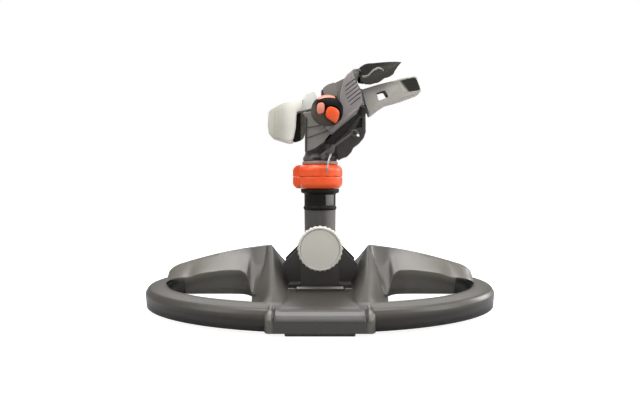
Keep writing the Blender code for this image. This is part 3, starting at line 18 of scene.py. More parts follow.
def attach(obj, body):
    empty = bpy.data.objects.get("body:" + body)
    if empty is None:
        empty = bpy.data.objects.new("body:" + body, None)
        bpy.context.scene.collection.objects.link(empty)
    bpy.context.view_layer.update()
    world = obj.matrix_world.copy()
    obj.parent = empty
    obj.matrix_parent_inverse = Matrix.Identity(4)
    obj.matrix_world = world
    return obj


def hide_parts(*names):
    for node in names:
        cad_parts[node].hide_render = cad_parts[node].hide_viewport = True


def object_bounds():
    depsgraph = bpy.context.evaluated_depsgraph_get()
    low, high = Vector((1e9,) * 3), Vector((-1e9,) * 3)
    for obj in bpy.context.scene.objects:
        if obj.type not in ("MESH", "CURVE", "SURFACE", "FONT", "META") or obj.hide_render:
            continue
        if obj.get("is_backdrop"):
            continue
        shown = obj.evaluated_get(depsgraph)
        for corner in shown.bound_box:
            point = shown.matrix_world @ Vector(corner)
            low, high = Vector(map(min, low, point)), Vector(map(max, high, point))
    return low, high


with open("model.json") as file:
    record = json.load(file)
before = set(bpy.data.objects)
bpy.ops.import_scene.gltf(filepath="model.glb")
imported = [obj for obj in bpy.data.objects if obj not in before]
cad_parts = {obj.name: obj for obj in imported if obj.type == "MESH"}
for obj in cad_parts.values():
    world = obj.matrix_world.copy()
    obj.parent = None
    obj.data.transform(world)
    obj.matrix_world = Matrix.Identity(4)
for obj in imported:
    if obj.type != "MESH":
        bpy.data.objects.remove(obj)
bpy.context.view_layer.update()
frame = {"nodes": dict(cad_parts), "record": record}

MM = 0.001

# %% [markdown]
# ## The camera
# The picture shows the sprinkler square on, from a little above its middle. The horizon, the width of
# the sled and the height of its front edge in the picture fix where the camera stood, how long its lens
# was and how far it looked down. Nothing here is shifted or cropped, so the same camera works for any
# other view.

# %% The camera, at the picture's place
CAMERA_PLACE = (0, -0.4826, 0.1259)
CAMERA_LENS = 25.81
LOOK_DOWN = 1.97
camera = bpy.data.objects.new("camera", bpy.data.cameras.new("camera"))
bpy.context.scene.collection.objects.link(camera)
camera.data.sensor_width = 36
camera.data.lens = CAMERA_LENS
camera.data.clip_start = 0.01
camera.location = CAMERA_PLACE
camera.rotation_euler = (math.radians(90 - LOOK_DOWN), 0, 0)
bpy.context.scene.camera = camera
bpy.context.scene.view_settings.view_transform = "Standard"
print("camera", CAMERA_LENS, "mm at", CAMERA_PLACE)

# %% [markdown]
# ## Shader maths in plain Python
# A material is a small calculation that runs at every point of a surface. Written node by node it is
# hard to read, so one class wraps a socket and turns + - * and ** into Math nodes. A second one, the
# finish, adds any other node in one line: first its settings, then what feeds its sockets.


# %% A number on a socket, and a finish that holds the nodes
class Number:
    """A socket that carries a number. Arithmetic on it adds Math nodes."""

    def __init__(self, finish, socket):
        self.finish, self.socket = finish, socket

    def _math(self, operation, first, second):
        return self.finish.add("Math", {"operation": operation}, {0: first, 1: second})

    def __add__(self, other):
        return self._math("ADD", self, other)

    __radd__ = __add__

    def __sub__(self, other):
        return self._math("SUBTRACT", self, other)

    def __rsub__(self, other):
        return self._math("SUBTRACT", other, self)

    def __mul__(self, other):
        return self._math("MULTIPLY", self, other)

    __rmul__ = __mul__

    def __pow__(self, other):
        return self._math("POWER", self, other)

    def between(self, low, high):
        """0 below low, 1 above high, and a smooth step between them."""
        sockets = {"Value": self, "From Min": low, "From Max": high}
        return self.finish.add("MapRange", {"interpolation_type": "SMOOTHSTEP"}, sockets)


class Finish:
    """One material: add() makes a node, and principled() is the surface itself."""

    def __init__(self, name):
        self.material = bpy.data.materials.new(name)
        self.material.use_nodes = True
        self.tree = self.material.node_tree
        self.tree.nodes.clear()
        self.output = self.tree.nodes.new("ShaderNodeOutputMaterial")

    def add(self, kind, settings=None, sockets=None, out=0):
        """Adds a shader node of a kind, with its settings, then a value or a link for each socket."""
        node = self.tree.nodes.new("ShaderNode" + kind)
        for key, value in (settings or {}).items():
            setattr(node, key, value)
        for key, value in (sockets or {}).items():
            if isinstance(value, Number):
                self.tree.links.new(value.socket, node.inputs[key])
            elif node.inputs[key].type == "RGBA":
                node.inputs[key].default_value = (*value, 1)
            else:
                node.inputs[key].default_value = value
        return Number(self, node.outputs[out])

    def place(self):
        """Where the point is, in metres: the same for every piece, because each sits at the origin."""
        return self.add("TexCoord", out="Object")

    def noise(self, scale, detail=3.0, roughness=0.5, stretch=None):
        """Cloudy noise of a scale in cycles per metre, stretched along an axis where stretch is given."""
        at = self.place()
        if stretch:
            at = self.add("Mapping", None, {"Vector": at, "Scale": stretch})
        sockets = {"Vector": at, "Scale": scale, "Detail": detail, "Roughness": roughness}
        return self.add("TexNoise", None, sockets)

    def mix(self, factor, first, second):
        """A colour between two, by a factor from 0 to 1."""
        return self.add("Mix", {"data_type": "RGBA"}, {0: factor, 6: first, 7: second}, 2)

    def bump(self, height, distance):
        """A normal tilted by a height, where height 1 stands for distance in metres."""
        return self.add("Bump", None, {"Height": height, "Distance": distance})

    def principled(self, **sockets):
        """The surface. Words in the keys stand for the sockets' names."""
        named = {key.replace("_", " "): value for key, value in sockets.items()}
        shader = self.add("BsdfPrincipled", None, named)
        self.tree.links.new(shader.socket, self.output.inputs["Surface"])
        return self.material


def from_screen(colour):
    """A colour as a screen shows it, from 0 to 255, turned into the linear light that shaders use."""
    shares = np.array(colour) / 255
    return tuple(np.where(shares <= 0.04045, shares / 12.92, ((shares + 0.055) / 1.055) ** 2.4))


print("grey of the sled, in linear light:", [round(float(c), 3) for c in from_screen((92, 89, 82))])

# %% [markdown]
# ## Surfaces from formulas
# Moulded plastic has few flat faces: its sections swell and narrow along a path. Such a form is a grid
# of points, worked out as whole arrays, and one helper turns any grid into a mesh. A second helper
# draws a smooth curve through a few measured points, so that a profile needs only the points that
# matter.


# %% Grids of points into meshes, and smooth curves through points
MERGE = 0.001 * MM  # points closer than this are one point


def through(x, places, values):
    """A smooth curve through given values: Hermite cubics whose slopes are those of np.gradient."""
    places, values = np.asarray(places, float), np.asarray(values, float)
    slopes = np.gradient(values, places)
    i = np.clip(np.searchsorted(places, x) - 1, 0, len(places) - 2)
    span = places[i + 1] - places[i]
    t = np.clip((x - places[i]) / span, 0, 1)
    return (
        (2 * t**3 - 3 * t**2 + 1) * values[i]
        + (t**3 - 2 * t**2 + t) * span * slopes[i]
        + (3 * t**2 - 2 * t**3) * values[i + 1]
        + (t**3 - t**2) * span * slopes[i + 1]
    )


def smooth_step(value, low, high):
    """0 below low, 1 above high, 3t^2 - 2t^3 between."""
    t = np.clip((value - low) / (high - low), 0, 1)
    return t * t * (3 - 2 * t)


def points(x, y, z):
    """Three arrays in millimetres that broadcast together, as one grid of points in metres."""
    return np.stack(np.broadcast_arrays(x, y, z), axis=-1) * MM


def turned_points(r, angle, height):
    """The same about the Z axis: x = r cos a, y = r sin a, z = height."""
    return points(r * np.cos(angle), r * np.sin(angle), height)


def placed(grid, matrix=None):
    """A grid of points carried by a matrix."""
    if matrix is None:
        return grid
    matrix = np.array(matrix)
    return grid @ matrix[:3, :3].T + matrix[:3, 3]


def linked(name, mesh, sharp):
    """An object in the scene from a mesh, shaded smooth, with edges over sharp degrees kept crisp."""
    mesh.shade_smooth()
    mesh.set_sharp_from_angle(angle=math.radians(sharp))
    piece = bpy.data.objects.new(name, mesh)
    bpy.context.scene.collection.objects.link(piece)
    return piece


def tidied(name, mesh, sharp):
    """An object from a mesh: points that coincide are merged, flat faces dropped, and every face turned
    outwards."""
    work = bmesh.new()
    work.from_mesh(mesh)
    bmesh.ops.remove_doubles(work, verts=work.verts, dist=MERGE)
    bmesh.ops.dissolve_degenerate(work, edges=work.edges, dist=MERGE)
    bmesh.ops.recalc_face_normals(work, faces=work.faces)
    work.to_mesh(mesh)
    work.free()
    return linked(name, mesh, sharp)


def surface(name, grid, around=False, closed=False, caps=False, sharp=35):
    """A mesh through a grid of points, an array of (rows, columns, 3). around joins the last column to
    the first, closed joins the last row to the first, and caps fills the first and last row."""
    rows, columns = grid.shape[:2]
    index = np.arange(rows * columns).reshape(rows, columns)
    if around:
        index = np.hstack([index, index[:, :1]])
    if closed:
        index = np.vstack([index, index[:1]])
    corners = (index[:-1, :-1], index[:-1, 1:], index[1:, 1:], index[1:, :-1])
    faces = np.stack(corners, axis=-1).reshape(-1, 4).tolist()
    if caps:
        faces += [index[0, :columns].tolist(), index[-1, :columns].tolist()]
    mesh = bpy.data.meshes.new(name)
    mesh.from_pydata(grid.reshape(-1, 3).tolist(), [], faces)
    return tidied(name, mesh, sharp)


def turned(name, profile, around_axis=None, sides=128):
    """A profile of (radius, height) points in millimetres turned about a line. around_axis is the matrix
    that carries Z onto that line."""
    profile = np.asarray(profile, float)
    angles = np.arange(sides) * 2 * math.pi / sides
    grid = turned_points(profile[:, :1], angles, profile[:, 1:])
    return surface(name, placed(grid, around_axis), around=True)


def soften(piece, width, segments=2, angle=30):
    """Rounds the edges that turn by more than an angle, as a mould's edges are."""
    step = piece.modifiers.new("edges", "BEVEL")
    step.width = width
    step.segments = segments
    step.limit_method = "ANGLE"
    step.angle_limit = math.radians(angle)
    step.use_clamp_overlap = True
    step.harden_normals = True
    return piece


def from_solid(node, name, width, segments, sharp=28):
    """A node's own shape as one joined surface, its flat faces made whole and its edges rounded."""
    mesh = frame["nodes"][node].data.copy()
    mesh.materials.clear()
    work = bmesh.new()
    work.from_mesh(mesh)
    bmesh.ops.remove_doubles(work, verts=work.verts, dist=2e-6)
    bmesh.ops.dissolve_limit(work, angle_limit=math.radians(0.5), verts=work.verts, edges=work.edges)
    work.to_mesh(mesh)
    work.free()
    return soften(tidied(name, mesh, sharp), width, segments)


def dress(piece, finish, body, node):
    """Gives a piece its finish and the body that it moves with, and hides the node it stands for."""
    piece.data.materials.clear()
    piece.data.materials.append(finish)
    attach(piece, body)
    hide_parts(node)
    print(f"{piece.name}: {len(piece.data.polygons)} faces, on {body}")
    return piece

# %% [markdown]
# ## The finishes
# Almost everything here is injection-moulded plastic. It is never one flat colour: the melt flows in
# slow clouds, the mould leaves a fine pebble that breaks up the gloss, and the gloss itself drifts.
# Three noises at three scales give that. Many pieces also carry painted light and shade: their colour
# passes from darker to paler along a direction, standing in for the way light and shadow fall on them.


# %% Moulded plastic
CLOUDS, SPECKS, PEBBLE = 14, 420, 2200  # the three noises, in cycles per metre
DRIFT, GRAIN = 300, 1800  # the two noises of a plastic that changes along a direction
WANDER = 1.2 * MM  # how far the place where it changes wanders with the noise
# Behind this depth the cover is given painted shade: its grooves and back faces are dark.
GROOVE_Y = -17.35  # how deep the cover's grooves start, in mm


def grained(finish, colour, roughness, level, fine, coarse, pebble=0.015 * MM, coat=0.0):
    """The plastic surface that all of them share: a pebble of two noises, and a gloss that drifts."""
    return finish.principled(
        Base_Color=colour, Roughness=roughness + (coarse - 0.5) * 0.14,
        Normal=finish.bump(fine * 0.7 + coarse * 0.3, pebble), Specular_IOR_Level=level, Coat_Weight=coat,
    )


def moulded(name, colour, shade=0.08, roughness=0.45, pebble=0.015 * MM, level=0.5, coat=0.0):
    """Plastic of one colour, as on a screen. Slow clouds shift it lighter and darker by shade, and the
    pebble is the height of the mould's grain."""
    finish = Finish(name)
    cloud = finish.noise(CLOUDS, 3).between(0.3, 0.7)
    fine, coarse = finish.noise(PEBBLE, 2, 0.6), finish.noise(SPECKS, 3)
    colour = from_screen(colour)
    darker = tuple(c * (1 - shade) for c in colour)
    lighter = tuple(min(c * (1 + shade), 1) for c in colour)
    tint = finish.mix(cloud * 0.75 + coarse * 0.25, darker, lighter)
    return grained(finish, tint, roughness + (cloud - 0.5) * 0.06, level, fine, coarse, pebble, coat)


def painted_light_gradient(name, first, second, direction, start, end, roughness=0.45, level=0.4, folded=False):
    """Plastic with painted light and shade: it passes from one colour to another between two distances (mm)
    along a direction. Folded, it does the same on both sides of every middle plane."""
    finish = Finish(name)
    at = finish.place()
    if folded:
        at = finish.add("VectorMath", {"operation": "ABSOLUTE"}, {0: at})
    along = finish.add("VectorMath", {"operation": "DOT_PRODUCT"}, {0: at, 1: direction}, "Value")
    fine, coarse = finish.noise(GRAIN, 2, 0.6), finish.noise(DRIFT, 3)
    blend = (along + (coarse - 0.5) * WANDER).between(start * MM, end * MM)
    tint = finish.mix(blend, from_screen(first), from_screen(second))
    return grained(finish, tint, roughness, level, fine, coarse)


def painted_centre_shade():
    """Painted shade: the trough between the rails, with the nose's front plate, is darker low down and
    pales with height. Outside their crests, where |x| + |y| / 8 is over about 53 mm, it is one even grey."""
    finish = Finish("sled_centre_painted_shade")
    x, y, height = (finish.add("SeparateXYZ", None, {"Vector": finish.place()}, axis) for axis in "XYZ")
    outside = ((x * x) ** 0.5 + (y * y) ** 0.5 * 0.1244).between(51.5 * MM, 54.5 * MM)
    fine, coarse = finish.noise(GRAIN, 2, 0.6), finish.noise(DRIFT, 3)
    risen = (height + (coarse - 0.5) * WANDER).between(10 * MM, 42 * MM)
    trough = finish.mix(risen, from_screen((50, 48, 44)), from_screen((76, 73, 68)))
    return grained(finish, finish.mix(outside, trough, from_screen((84, 81, 75))), 0.36, 0.6, fine, coarse)


sled_grey = moulded("sled_grey_plastic", (92, 89, 82), 0.07, 0.36, 0.02 * MM, level=0.6)
body_grey = moulded("body_grey_plastic", (130, 126, 121), 0.07, 0.42)
tube_grey = moulded("tube_grey_plastic", (92, 90, 88), 0.05, 0.34, 0.006 * MM)
satin_black = moulded("satin_black_plastic", (46, 44, 41), 0.15, 0.42, 0.012 * MM, level=0.35)
matt_black = moulded("matt_black_plastic", (40, 38, 36), 0.2, 0.62, 0.03 * MM, level=0.15)
knob_grey = moulded("knob_pale_plastic", (196, 193, 184), 0.03, 0.50)
saddle_white = moulded("saddle_white_plastic", (251, 250, 244), 0.02, 0.45, 0.01 * MM)
bright_orange = moulded("orange_plastic", (244, 88, 34), 0.05, 0.36, 0.008 * MM, coat=0.08)
# The inlays' orange paled to peach: painted highlight, used on the top and left inlays.
orange_painted_highlight = moulded("orange_painted_highlight_plastic", (211, 126, 103), 0.05, 0.40, 0.008 * MM)
cap_grey = moulded("cap_pale_plastic", (150, 122, 114), 0.04, 0.45)
dark_grey = moulded("dark_grey_plastic", (62, 59, 56), 0.08, 0.42)
deep_black = moulded("deep_black_plastic", (30, 28, 25), 0.2, 0.5, 0.02 * MM, level=0.15)
worn_black = moulded("worn_black_plastic", (120, 118, 114), 0.25, 0.5, 0.08 * MM)
trip_grey = moulded("trip_grey_plastic", (88, 85, 80), 0.08, 0.42)

# Painted shade: the sled's centre is darker low in the trough between the rails and on the nose's front
# plate.
centre_painted_shade = painted_centre_shade()
ALONG_X, UP = (1, 0, 0), (0, 0, 1)
# Painted shade: the ring's upright outer wall, below 12.5 mm, is darker than its crown.
ring_painted_shade = painted_light_gradient("sled_ring_painted_shade", (40, 38, 35), (70, 67, 62), UP, 12.5, 18, 0.34, 0.34)
# Painted shade: each wing is darker within 70 mm of the middle, where it meets a rail, and paler past 92
# mm.
wing_painted_shade = painted_light_gradient(
    "sled_wing_painted_shade", (74, 71, 66), (93, 90, 83), ALONG_X, 70, 92, 0.36, 0.6, folded=True
)
# Painted light and shade on the black range dome: grey at its lower left, near black at its upper right.
range_dome_painted_light = painted_light_gradient("range_dome_painted_light_plastic", (88, 82, 75), (12, 11, 9), (0.75, 0, 0.66), 125, 136, 0.5, 0.05)
# Painted shadow for the hollow of the weight: near black, pale only at the edge next to the head.
lining_painted_shadow = painted_light_gradient("weight_inside_painted_shadow", (40, 39, 31), (172, 168, 150), ALONG_X, -21.4, -19.4)
# Painted shade: the off-white weight is darker towards its outer end, below x = -26 mm.
weight_painted_shade = painted_light_gradient("weight_painted_shade_plastic", (201, 198, 186), (249, 247, 238), ALONG_X, -43, -26, level=0.3)
# Painted shade: the arm's pale grey turns darker along its top edge.
arm_grey = painted_light_gradient("arm_painted_shade_plastic", (176, 171, 165), (148, 144, 137), (-0.309, 0, 0.951), 190, 196)
# Painted shade: the cover is pale on its front face and dark in its grooves and on every face behind them.
cover_grey = painted_light_gradient(
    "cover_painted_shade_plastic", (142, 136, 135), (66, 62, 60), (0, 1, 0), GROOVE_Y - 0.1, GROOVE_Y + 0.1, 0.4, 0.5
)
# The neck's own dark grey, with painted light on its left side.
neck_painted_light = painted_light_gradient("neck_painted_light_plastic", (92, 88, 84), (34, 31, 28), ALONG_X, -9.5, -5)
# Painted shade: the scoop's side plate runs from the arm's grey to near black at the tip.
scoop_painted_shade = painted_light_gradient("scoop_painted_shade_plastic", (176, 171, 165), (40, 39, 35), (1, 0, 0.8), 265, 269.5)
# Painted shade: the deflector's hood is darkest over its top towards the hinge and paler lower down towards
# its tip.
hood_painted_shade = painted_light_gradient("hood_painted_shade_plastic", (18, 16, 15), (60, 58, 54), (0.5, 0, -1), -219, -208, 0.6, 0.04)
# Painted highlight: the riser tube is paler on its right side, where a light would reflect.
tube_painted_highlight = painted_light_gradient("tube_painted_highlight_plastic", (78, 76, 74), (104, 101, 97), ALONG_X, 3, 10, 0.34, 0.5)
print("fourteen plain plastics, and twelve that change with the place on the piece")

# %% [markdown]
# ## Metal and rubber
# The metal is drawn wire and turned pins, with fine scratches along their length: a noise stretched
# along one axis. The trip's wire is duller than the pins, because it is out in the wet. The seals are
# rubber, which hardly reflects.


# %% Drawn steel and rubber
def drawn_steel(name, shade=1.0):
    """Bright steel with fine scratches: noise drawn out along Z, in the roughness and the normal."""
    finish = Finish(name)
    scratch = finish.noise(1500, 3, 0.6, (1, 1, 0.12))
    dull, bright = np.array([0.50, 0.50, 0.49]) * shade, np.array([0.66, 0.66, 0.64]) * shade
    return finish.principled(
        Base_Color=finish.mix(scratch, dull, bright), Roughness=0.24 + scratch * 0.2, Metallic=1.0,
        Normal=finish.bump(scratch, 0.003 * MM),
    )


def rubber(name):
    """Black rubber with a faint bloom."""
    finish = Finish(name)
    bloom = finish.noise(160, 4).between(0.35, 0.75)
    tint = finish.mix(bloom, from_screen((24, 24, 24)), from_screen((38, 38, 37)))
    return finish.principled(Base_Color=tint, Roughness=0.62 + bloom * 0.2, Specular_IOR_Level=0.3)


steel, wire_steel = drawn_steel("drawn_steel"), drawn_steel("wire_steel", 0.55)
seal_rubber = rubber("seal_rubber")
print("steel and rubber")

# %% [markdown]
# ## Corners that a mould would round
# A section is easiest to give as a few straight corners, and a mould rounds each of them. Between two
# points on the corner's arms the rounding is a quadratic Bezier curve, (1-t)^2 a + 2t(1-t) c + t^2 b,
# worked out for every section of a form at once. The walls of a shell come last: a sheet open below is
# thickened inwards.


# %% Rounded corners and thickened sheets
def rounded(corners, radii, steps=5):
    """Corners as an array (..., count, axes): each but the first and last becomes a quadratic curve that
    starts its radius before the corner and ends its radius after it, with no arm used beyond its middle."""
    corners = np.asarray(corners, float)
    radii = np.broadcast_to(np.asarray(radii, float), corners.shape[:-1])
    t = np.linspace(0, 1, steps)[:, None]
    parts = [corners[..., :1, :]]
    for i in range(1, corners.shape[-2] - 1):
        corner = corners[..., i, :]
        ends = []
        for other in (corners[..., i - 1, :], corners[..., i + 1, :]):
            arm = other - corner
            length = np.linalg.norm(arm, axis=-1, keepdims=True)
            reach = np.minimum(radii[..., i, None], length * 0.49)
            ends.append(corner + arm * reach / np.maximum(length, 1e-9))
        a, c, b = (v[..., None, :] for v in (ends[0], corner, ends[1]))
        parts.append((1 - t) ** 2 * a + 2 * t * (1 - t) * c + t**2 * b)
    parts.append(corners[..., -1:, :])
    return np.concatenate(parts, axis=-2)


def loop_rounded(corners, radius, steps):
    """The same for a closed outline, with one radius for all its corners."""
    corners = np.asarray(corners, float)
    radii = np.r_[0, np.full(len(corners), radius), 0]
    return rounded(np.vstack([corners[-1:], corners, corners[:1]]), radii, steps)[1:-1]


def both_sides(half):
    """A half section from its foot to the middle, continued to the other foot: (stations, points, 3)."""
    other = half[:, ::-1] * np.array([-1, 1, 1])
    return np.concatenate([half, other[:, 1:]], axis=1)


def thickened(piece, wall):
    """Gives an open sheet a wall on its inner side, with its rim closed."""
    step = piece.modifiers.new("wall", "SOLIDIFY")
    step.thickness = wall
    step.offset = -1
    step.use_rim = True
    return piece


print("rounding:", np.round(rounded([(0, 0), (10, 0), (10, 10)], 4, 3), 2).tolist())

# %% [markdown]
# ## The sled's ring
# The sled is one shell moulding, open below. Its ring is a crowned strip carried round an ellipse: the
# crown falls gently outwards to a round shoulder, then the wall drops straight. It is made as two arcs,
# because in the middle it runs into the rails and the deck.

# %% The two arcs of the ring
SLED_HALF_LENGTH, SLED_HALF_WIDTH, SLED_FOOT = 180, 112, 4
SLED_WALL = 2.6 * MM
ring_section = rounded(
    [(1.1, SLED_FOOT), (0, 17.3), (3.2, 22.1), (12, 23.6), (17.4, 24), (22.2, 23.1), (23, 18.5),
     (23, SLED_FOOT)],
    [0, 1.8, 1.8, 6, 6, 2.2, 2.4, 0], 6,
)


def ring_arc(name, side):
    """x = side (a - n) cos t, y = (b - n) sin t, z = h: the section (n, h) round the ellipse a, b."""
    t = np.radians(np.linspace(-76, 76, 150))[:, None]
    n, height = ring_section.T
    grid = points(side * (SLED_HALF_LENGTH - n) * np.cos(t), (SLED_HALF_WIDTH - n) * np.sin(t), height)
    return thickened(surface(name, grid, sharp=60), SLED_WALL)


for side, name in ((1, "sled_ring_right"), (-1, "sled_ring_left")):
    dress(ring_arc(name, side), ring_painted_shade, "base", "sled_base")

# %% [markdown]
# ## The sled's wings
# From each rail a wing runs out to the ring: a roof with a soft ridge, a crisp eave and an upright wall
# below it. Towards the rail the eave swings forward and down, as the mould rounds the corner of the
# opening. Towards the ring the roof closes like the bow of a boat, and the wall stops short.

# %% The two wings
CREST_X, CREST_Z = 52.8, 62.1  # a rail's crest where it is highest, beside the riser
CREST_IN, CREST_DOWN, RAIL_LENGTH = 11.2, 38.1, 90  # how far it draws in and sinks over its length
BOW_START, BOW_LENGTH, BOW_POWER = 137, 24.3, 2.3
WALL_FOOT = 15
roof_x = [CREST_X, 63, 84.4, 105.5, 126.6, 141, 150, 156, 159.5, 161.3]
roof_z = [61.9, 60.8, 57.9, 53.7, 48.4, 44.2, 41.2, 37.6, 33.2, 27]
eave_x = [CREST_X, 62, 66, 70, 73, 78, 87, 106, 124, 134, 141, 153, 161.3]
eave_z = [12, 12.6, 16, 25, 33.6, 38, 39.2, 38, 35.2, 32, 31.8, 28.6, 23.4]
half_x = [CREST_X, 60, 64, 67, 70, 74, 80, 90, 106]
half_y = [45, 40, 36.5, 33.2, 29.2, 25.4, 23, 22.1, 22]
rail_edge_y = [0, 27, 60, 100, 113]
rail_edge_x = [72, 68, 58.5, 48.4, 44.4]


def rail_foot(far):
    """Where a rail's outer slope ends: low in the openings, and level with the deck near the nose."""
    return 21.1 - 9 * (1 - smooth_step(far, 66, 88))


def rail_slope(x, y):
    """The height of a rail's outer slope over a point of the plan: a straight fall from crest to eave."""
    far = np.abs(y)
    crest_x = CREST_X - CREST_IN * far / RAIL_LENGTH
    crest = CREST_Z - 0.3 - CREST_DOWN * far / RAIL_LENGTH
    edge = through(far, rail_edge_y, rail_edge_x)
    return crest - (x - crest_x) / (edge - crest_x) * (crest - rail_foot(far))


def soft_higher(a, b, reach):
    """The higher of two heights, with the valley between them filled: where they differ by less than
    reach, (reach - |a - b|)^2 / 4 reach is added."""
    near = np.maximum(reach - np.abs(a - b), 0)
    return np.maximum(a, b) + near**2 / (4 * np.maximum(reach, 1e-6))


def pairs(*columns):
    """Corners from (across, height) pairs of arrays, as an array of (stations, corners, 2)."""
    return np.stack([np.stack(column, axis=-1) for column in columns], axis=1)


def wing(name, side):
    """Sections across the wing at each x: wall foot, eave, roof, ridge, and the same on the far side.
    Near the rail the roof is blended into the rail's slope."""
    bow = BOW_START + BOW_LENGTH * np.sin(np.radians(np.linspace(6, 89, 18)))
    inner, outer = np.linspace(CREST_X, 80, 30)[:-1], np.linspace(80, BOW_START, 40)
    x = np.concatenate([inner, outer, bow])
    top = through(x, roof_x, roof_z)
    eave = np.minimum(through(x, eave_x, eave_z), top - 1)
    closing = np.clip((x - BOW_START) / (BOW_LENGTH + 0.05), 0, 1)
    half = through(np.minimum(x, half_x[-1]), half_x, half_y) * (1 - closing**BOW_POWER) ** (1 / BOW_POWER)
    foot = np.where(x < BOW_START - 0.1, WALL_FOOT, eave - 0.8)
    flat = np.zeros_like(x)
    shoulder = eave + (top - eave) * 0.49
    corners = pairs((-half, foot), (-half, eave), (-0.52 * half, shoulder), (flat, top + 0.9))
    crest = pairs((-2.6 * half / 22, top - 0.25), (flat, top))
    near = np.concatenate([rounded(corners, [0, 0.9, 9, 0], 7)[:, :-1], crest], axis=1)
    roof = near[:, 1:]
    fill = 14 * smooth_step(x, 53, 66)[:, None]
    blended = soft_higher(roof[..., 1], rail_slope(x[:, None], roof[..., 0]), fill)
    roof[..., 1] = np.where(x[:, None] < 96, blended, roof[..., 1])
    section = np.concatenate([near, near[:, -2::-1] * np.array([-1, 1])], axis=1)
    grid = points(side * x[:, None], section[..., 0], section[..., 1])
    return thickened(surface(name, grid, sharp=40), SLED_WALL * 0.8)


for side, name in ((1, "sled_wing_right"), (-1, "sled_wing_left")):
    dress(wing(name, side), wing_painted_shade, "base", "sled_base")

# %% [markdown]
# ## The sled's rails, deck and nose
# One section runs from the back nose to the front one: the outer slope of a rail, its soft crest, its
# inner slope, the deck, and the same mirrored. Under the riser the rails stand high, and they sink to
# the deck where they reach the nose. There the section rounds over and drops as the front plate. Beside
# the nose a narrow notch parts it from the rail's end.

# %% The rails, the deck and the nose
NOSE_Y, DECK_Z = 113, 22.6
NOTCH_X, NOTCH_DEPTH = 38.6, 2.2
NOSE_TURN = 3.2  # the radius of the nose's upright corners
nose_y = [90, 98, 103, 106.5, 109.3, 111.4, 112.6, 113]
nose_fall = [0, 0.1, 0.8, 2.3, 4.5, 6.8, 8.3, 9]
deck_foot_y = [0, 20, 40, 75, 98, 113]
deck_foot_x = [34, 34, 33.2, 30, 33.5, 36.5]


def centre_rows():
    """Distances from the middle to each row, close together at the nose, and how far each row has
    dropped below it."""
    run = np.concatenate([np.linspace(0, 92, 60), np.linspace(93, 108, 20), np.linspace(108.4, NOSE_Y, 16)])
    drop = np.concatenate([np.zeros(len(run)), np.linspace(0.03, 1, 12)])
    return np.concatenate([run, np.full(12, float(NOSE_Y))]), drop


def centre_half(far, drop):
    """The half section at a distance far from the middle: foot, eave, crest, deck edge, deck middle."""
    fall = np.interp(far, nose_y, nose_fall)
    peak_x = np.maximum(CREST_X - CREST_IN * far / RAIL_LENGTH, 40.6)
    peak = np.maximum(CREST_Z - CREST_DOWN * far / RAIL_LENGTH, 23.6)
    peak = peak + 0.5 * np.exp(-(((far - RAIL_LENGTH) / 7) ** 2))
    deck = DECK_Z - 0.25 * smooth_step(far, 60, 100)
    rise = peak - deck
    steep = np.clip(rise / 39, 0, 1)
    edge = through(far, rail_edge_y, rail_edge_x)
    foot_x = through(far, deck_foot_y, deck_foot_x)
    floor = np.full_like(far, SLED_FOOT)
    corners = pairs(
        (edge, floor),
        (edge, np.maximum(rail_foot(far) - fall, floor)),
        (peak_x + 2, peak + 0.3 * steep - fall),
        (peak_x - 3, peak + 0.1 * steep - fall),
        (foot_x + 4.6 * steep + 0.6, deck + 0.42 * rise - fall),
        (foot_x - 1.5, deck - fall),
        (foot_x * 0.5, deck - fall),
        (np.zeros_like(far), deck - fall),
    )
    half = rounded(corners, [0, 1.8, 9, 9, 9, 6, 1, 0], 7)
    across, height = half[..., 0], half[..., 1]
    past = np.maximum(far - (NOSE_Y - NOSE_TURN), 0)
    turn = NOSE_TURN - np.sqrt(np.maximum(NOSE_TURN**2 - past**2, 0))
    across = across - turn[:, None] * smooth_step(across, 41, 46)
    notch = np.exp(-(((across - NOTCH_X) / 1.25) ** 2)) * smooth_step(far, 98, 104)[:, None]
    height = height - NOTCH_DEPTH * notch * smooth_step(height, 8, 12)
    height = SLED_FOOT + (height - SLED_FOOT) * (1 - drop)[:, None]
    back = 1.2 * notch * smooth_step(far, 108, 112)[:, None] * smooth_step(height, 10, 13)
    return points(across, far[:, None] - back, height)


rows, drops = centre_rows()
front = both_sides(centre_half(rows, drops)[::-1] * np.array([1, -1, 1]))
rear = both_sides(centre_half(rows, drops))[1:]
centre = thickened(surface("sled_centre", np.concatenate([front, rear]), sharp=50), SLED_WALL)
dress(centre, centre_painted_shade, "base", "sled_base")

# %% [markdown]
# ## Under and on the deck
# Under the deck cross ribs bear on the foot plate, and four bosses take its screws. On the deck a sill
# runs across in front of the bracket, with a low pad at each end.


# %% Ribs, screw bosses, the sill and its pads
def bar(name, low, high, edge=0.0):
    """A moulded bar between two corners in millimetres, drawn in a little towards its top."""
    (x0, y0, z0), (x1, y1, z1) = low, high
    draft = 0.02 * (z1 - z0)
    foot = np.array([(x0, y0), (x1, y0), (x1, y1), (x0, y1)], float)
    top = foot + draft * np.array([(1, 1), (-1, 1), (-1, -1), (1, -1)])
    outlines = np.stack([foot, top])
    grid = points(outlines[..., 0], outlines[..., 1], np.array([[z0], [z1]]))
    piece = surface(name, grid, around=True, caps=True, sharp=30)
    return soften(piece, edge * MM) if edge else piece


def joined(name, pieces):
    """Several pieces as one object, each as its modifiers leave it."""
    graph = bpy.context.evaluated_depsgraph_get()
    work = bmesh.new()
    for piece in pieces:
        bpy.context.view_layer.update()
        mesh = bpy.data.meshes.new_from_object(piece.evaluated_get(graph))
        work.from_mesh(mesh)
        bpy.data.meshes.remove(mesh)
        bpy.data.objects.remove(piece, do_unlink=True)
    made = bpy.data.meshes.new(name)
    work.to_mesh(made)
    work.free()
    return linked(name, made, 30)


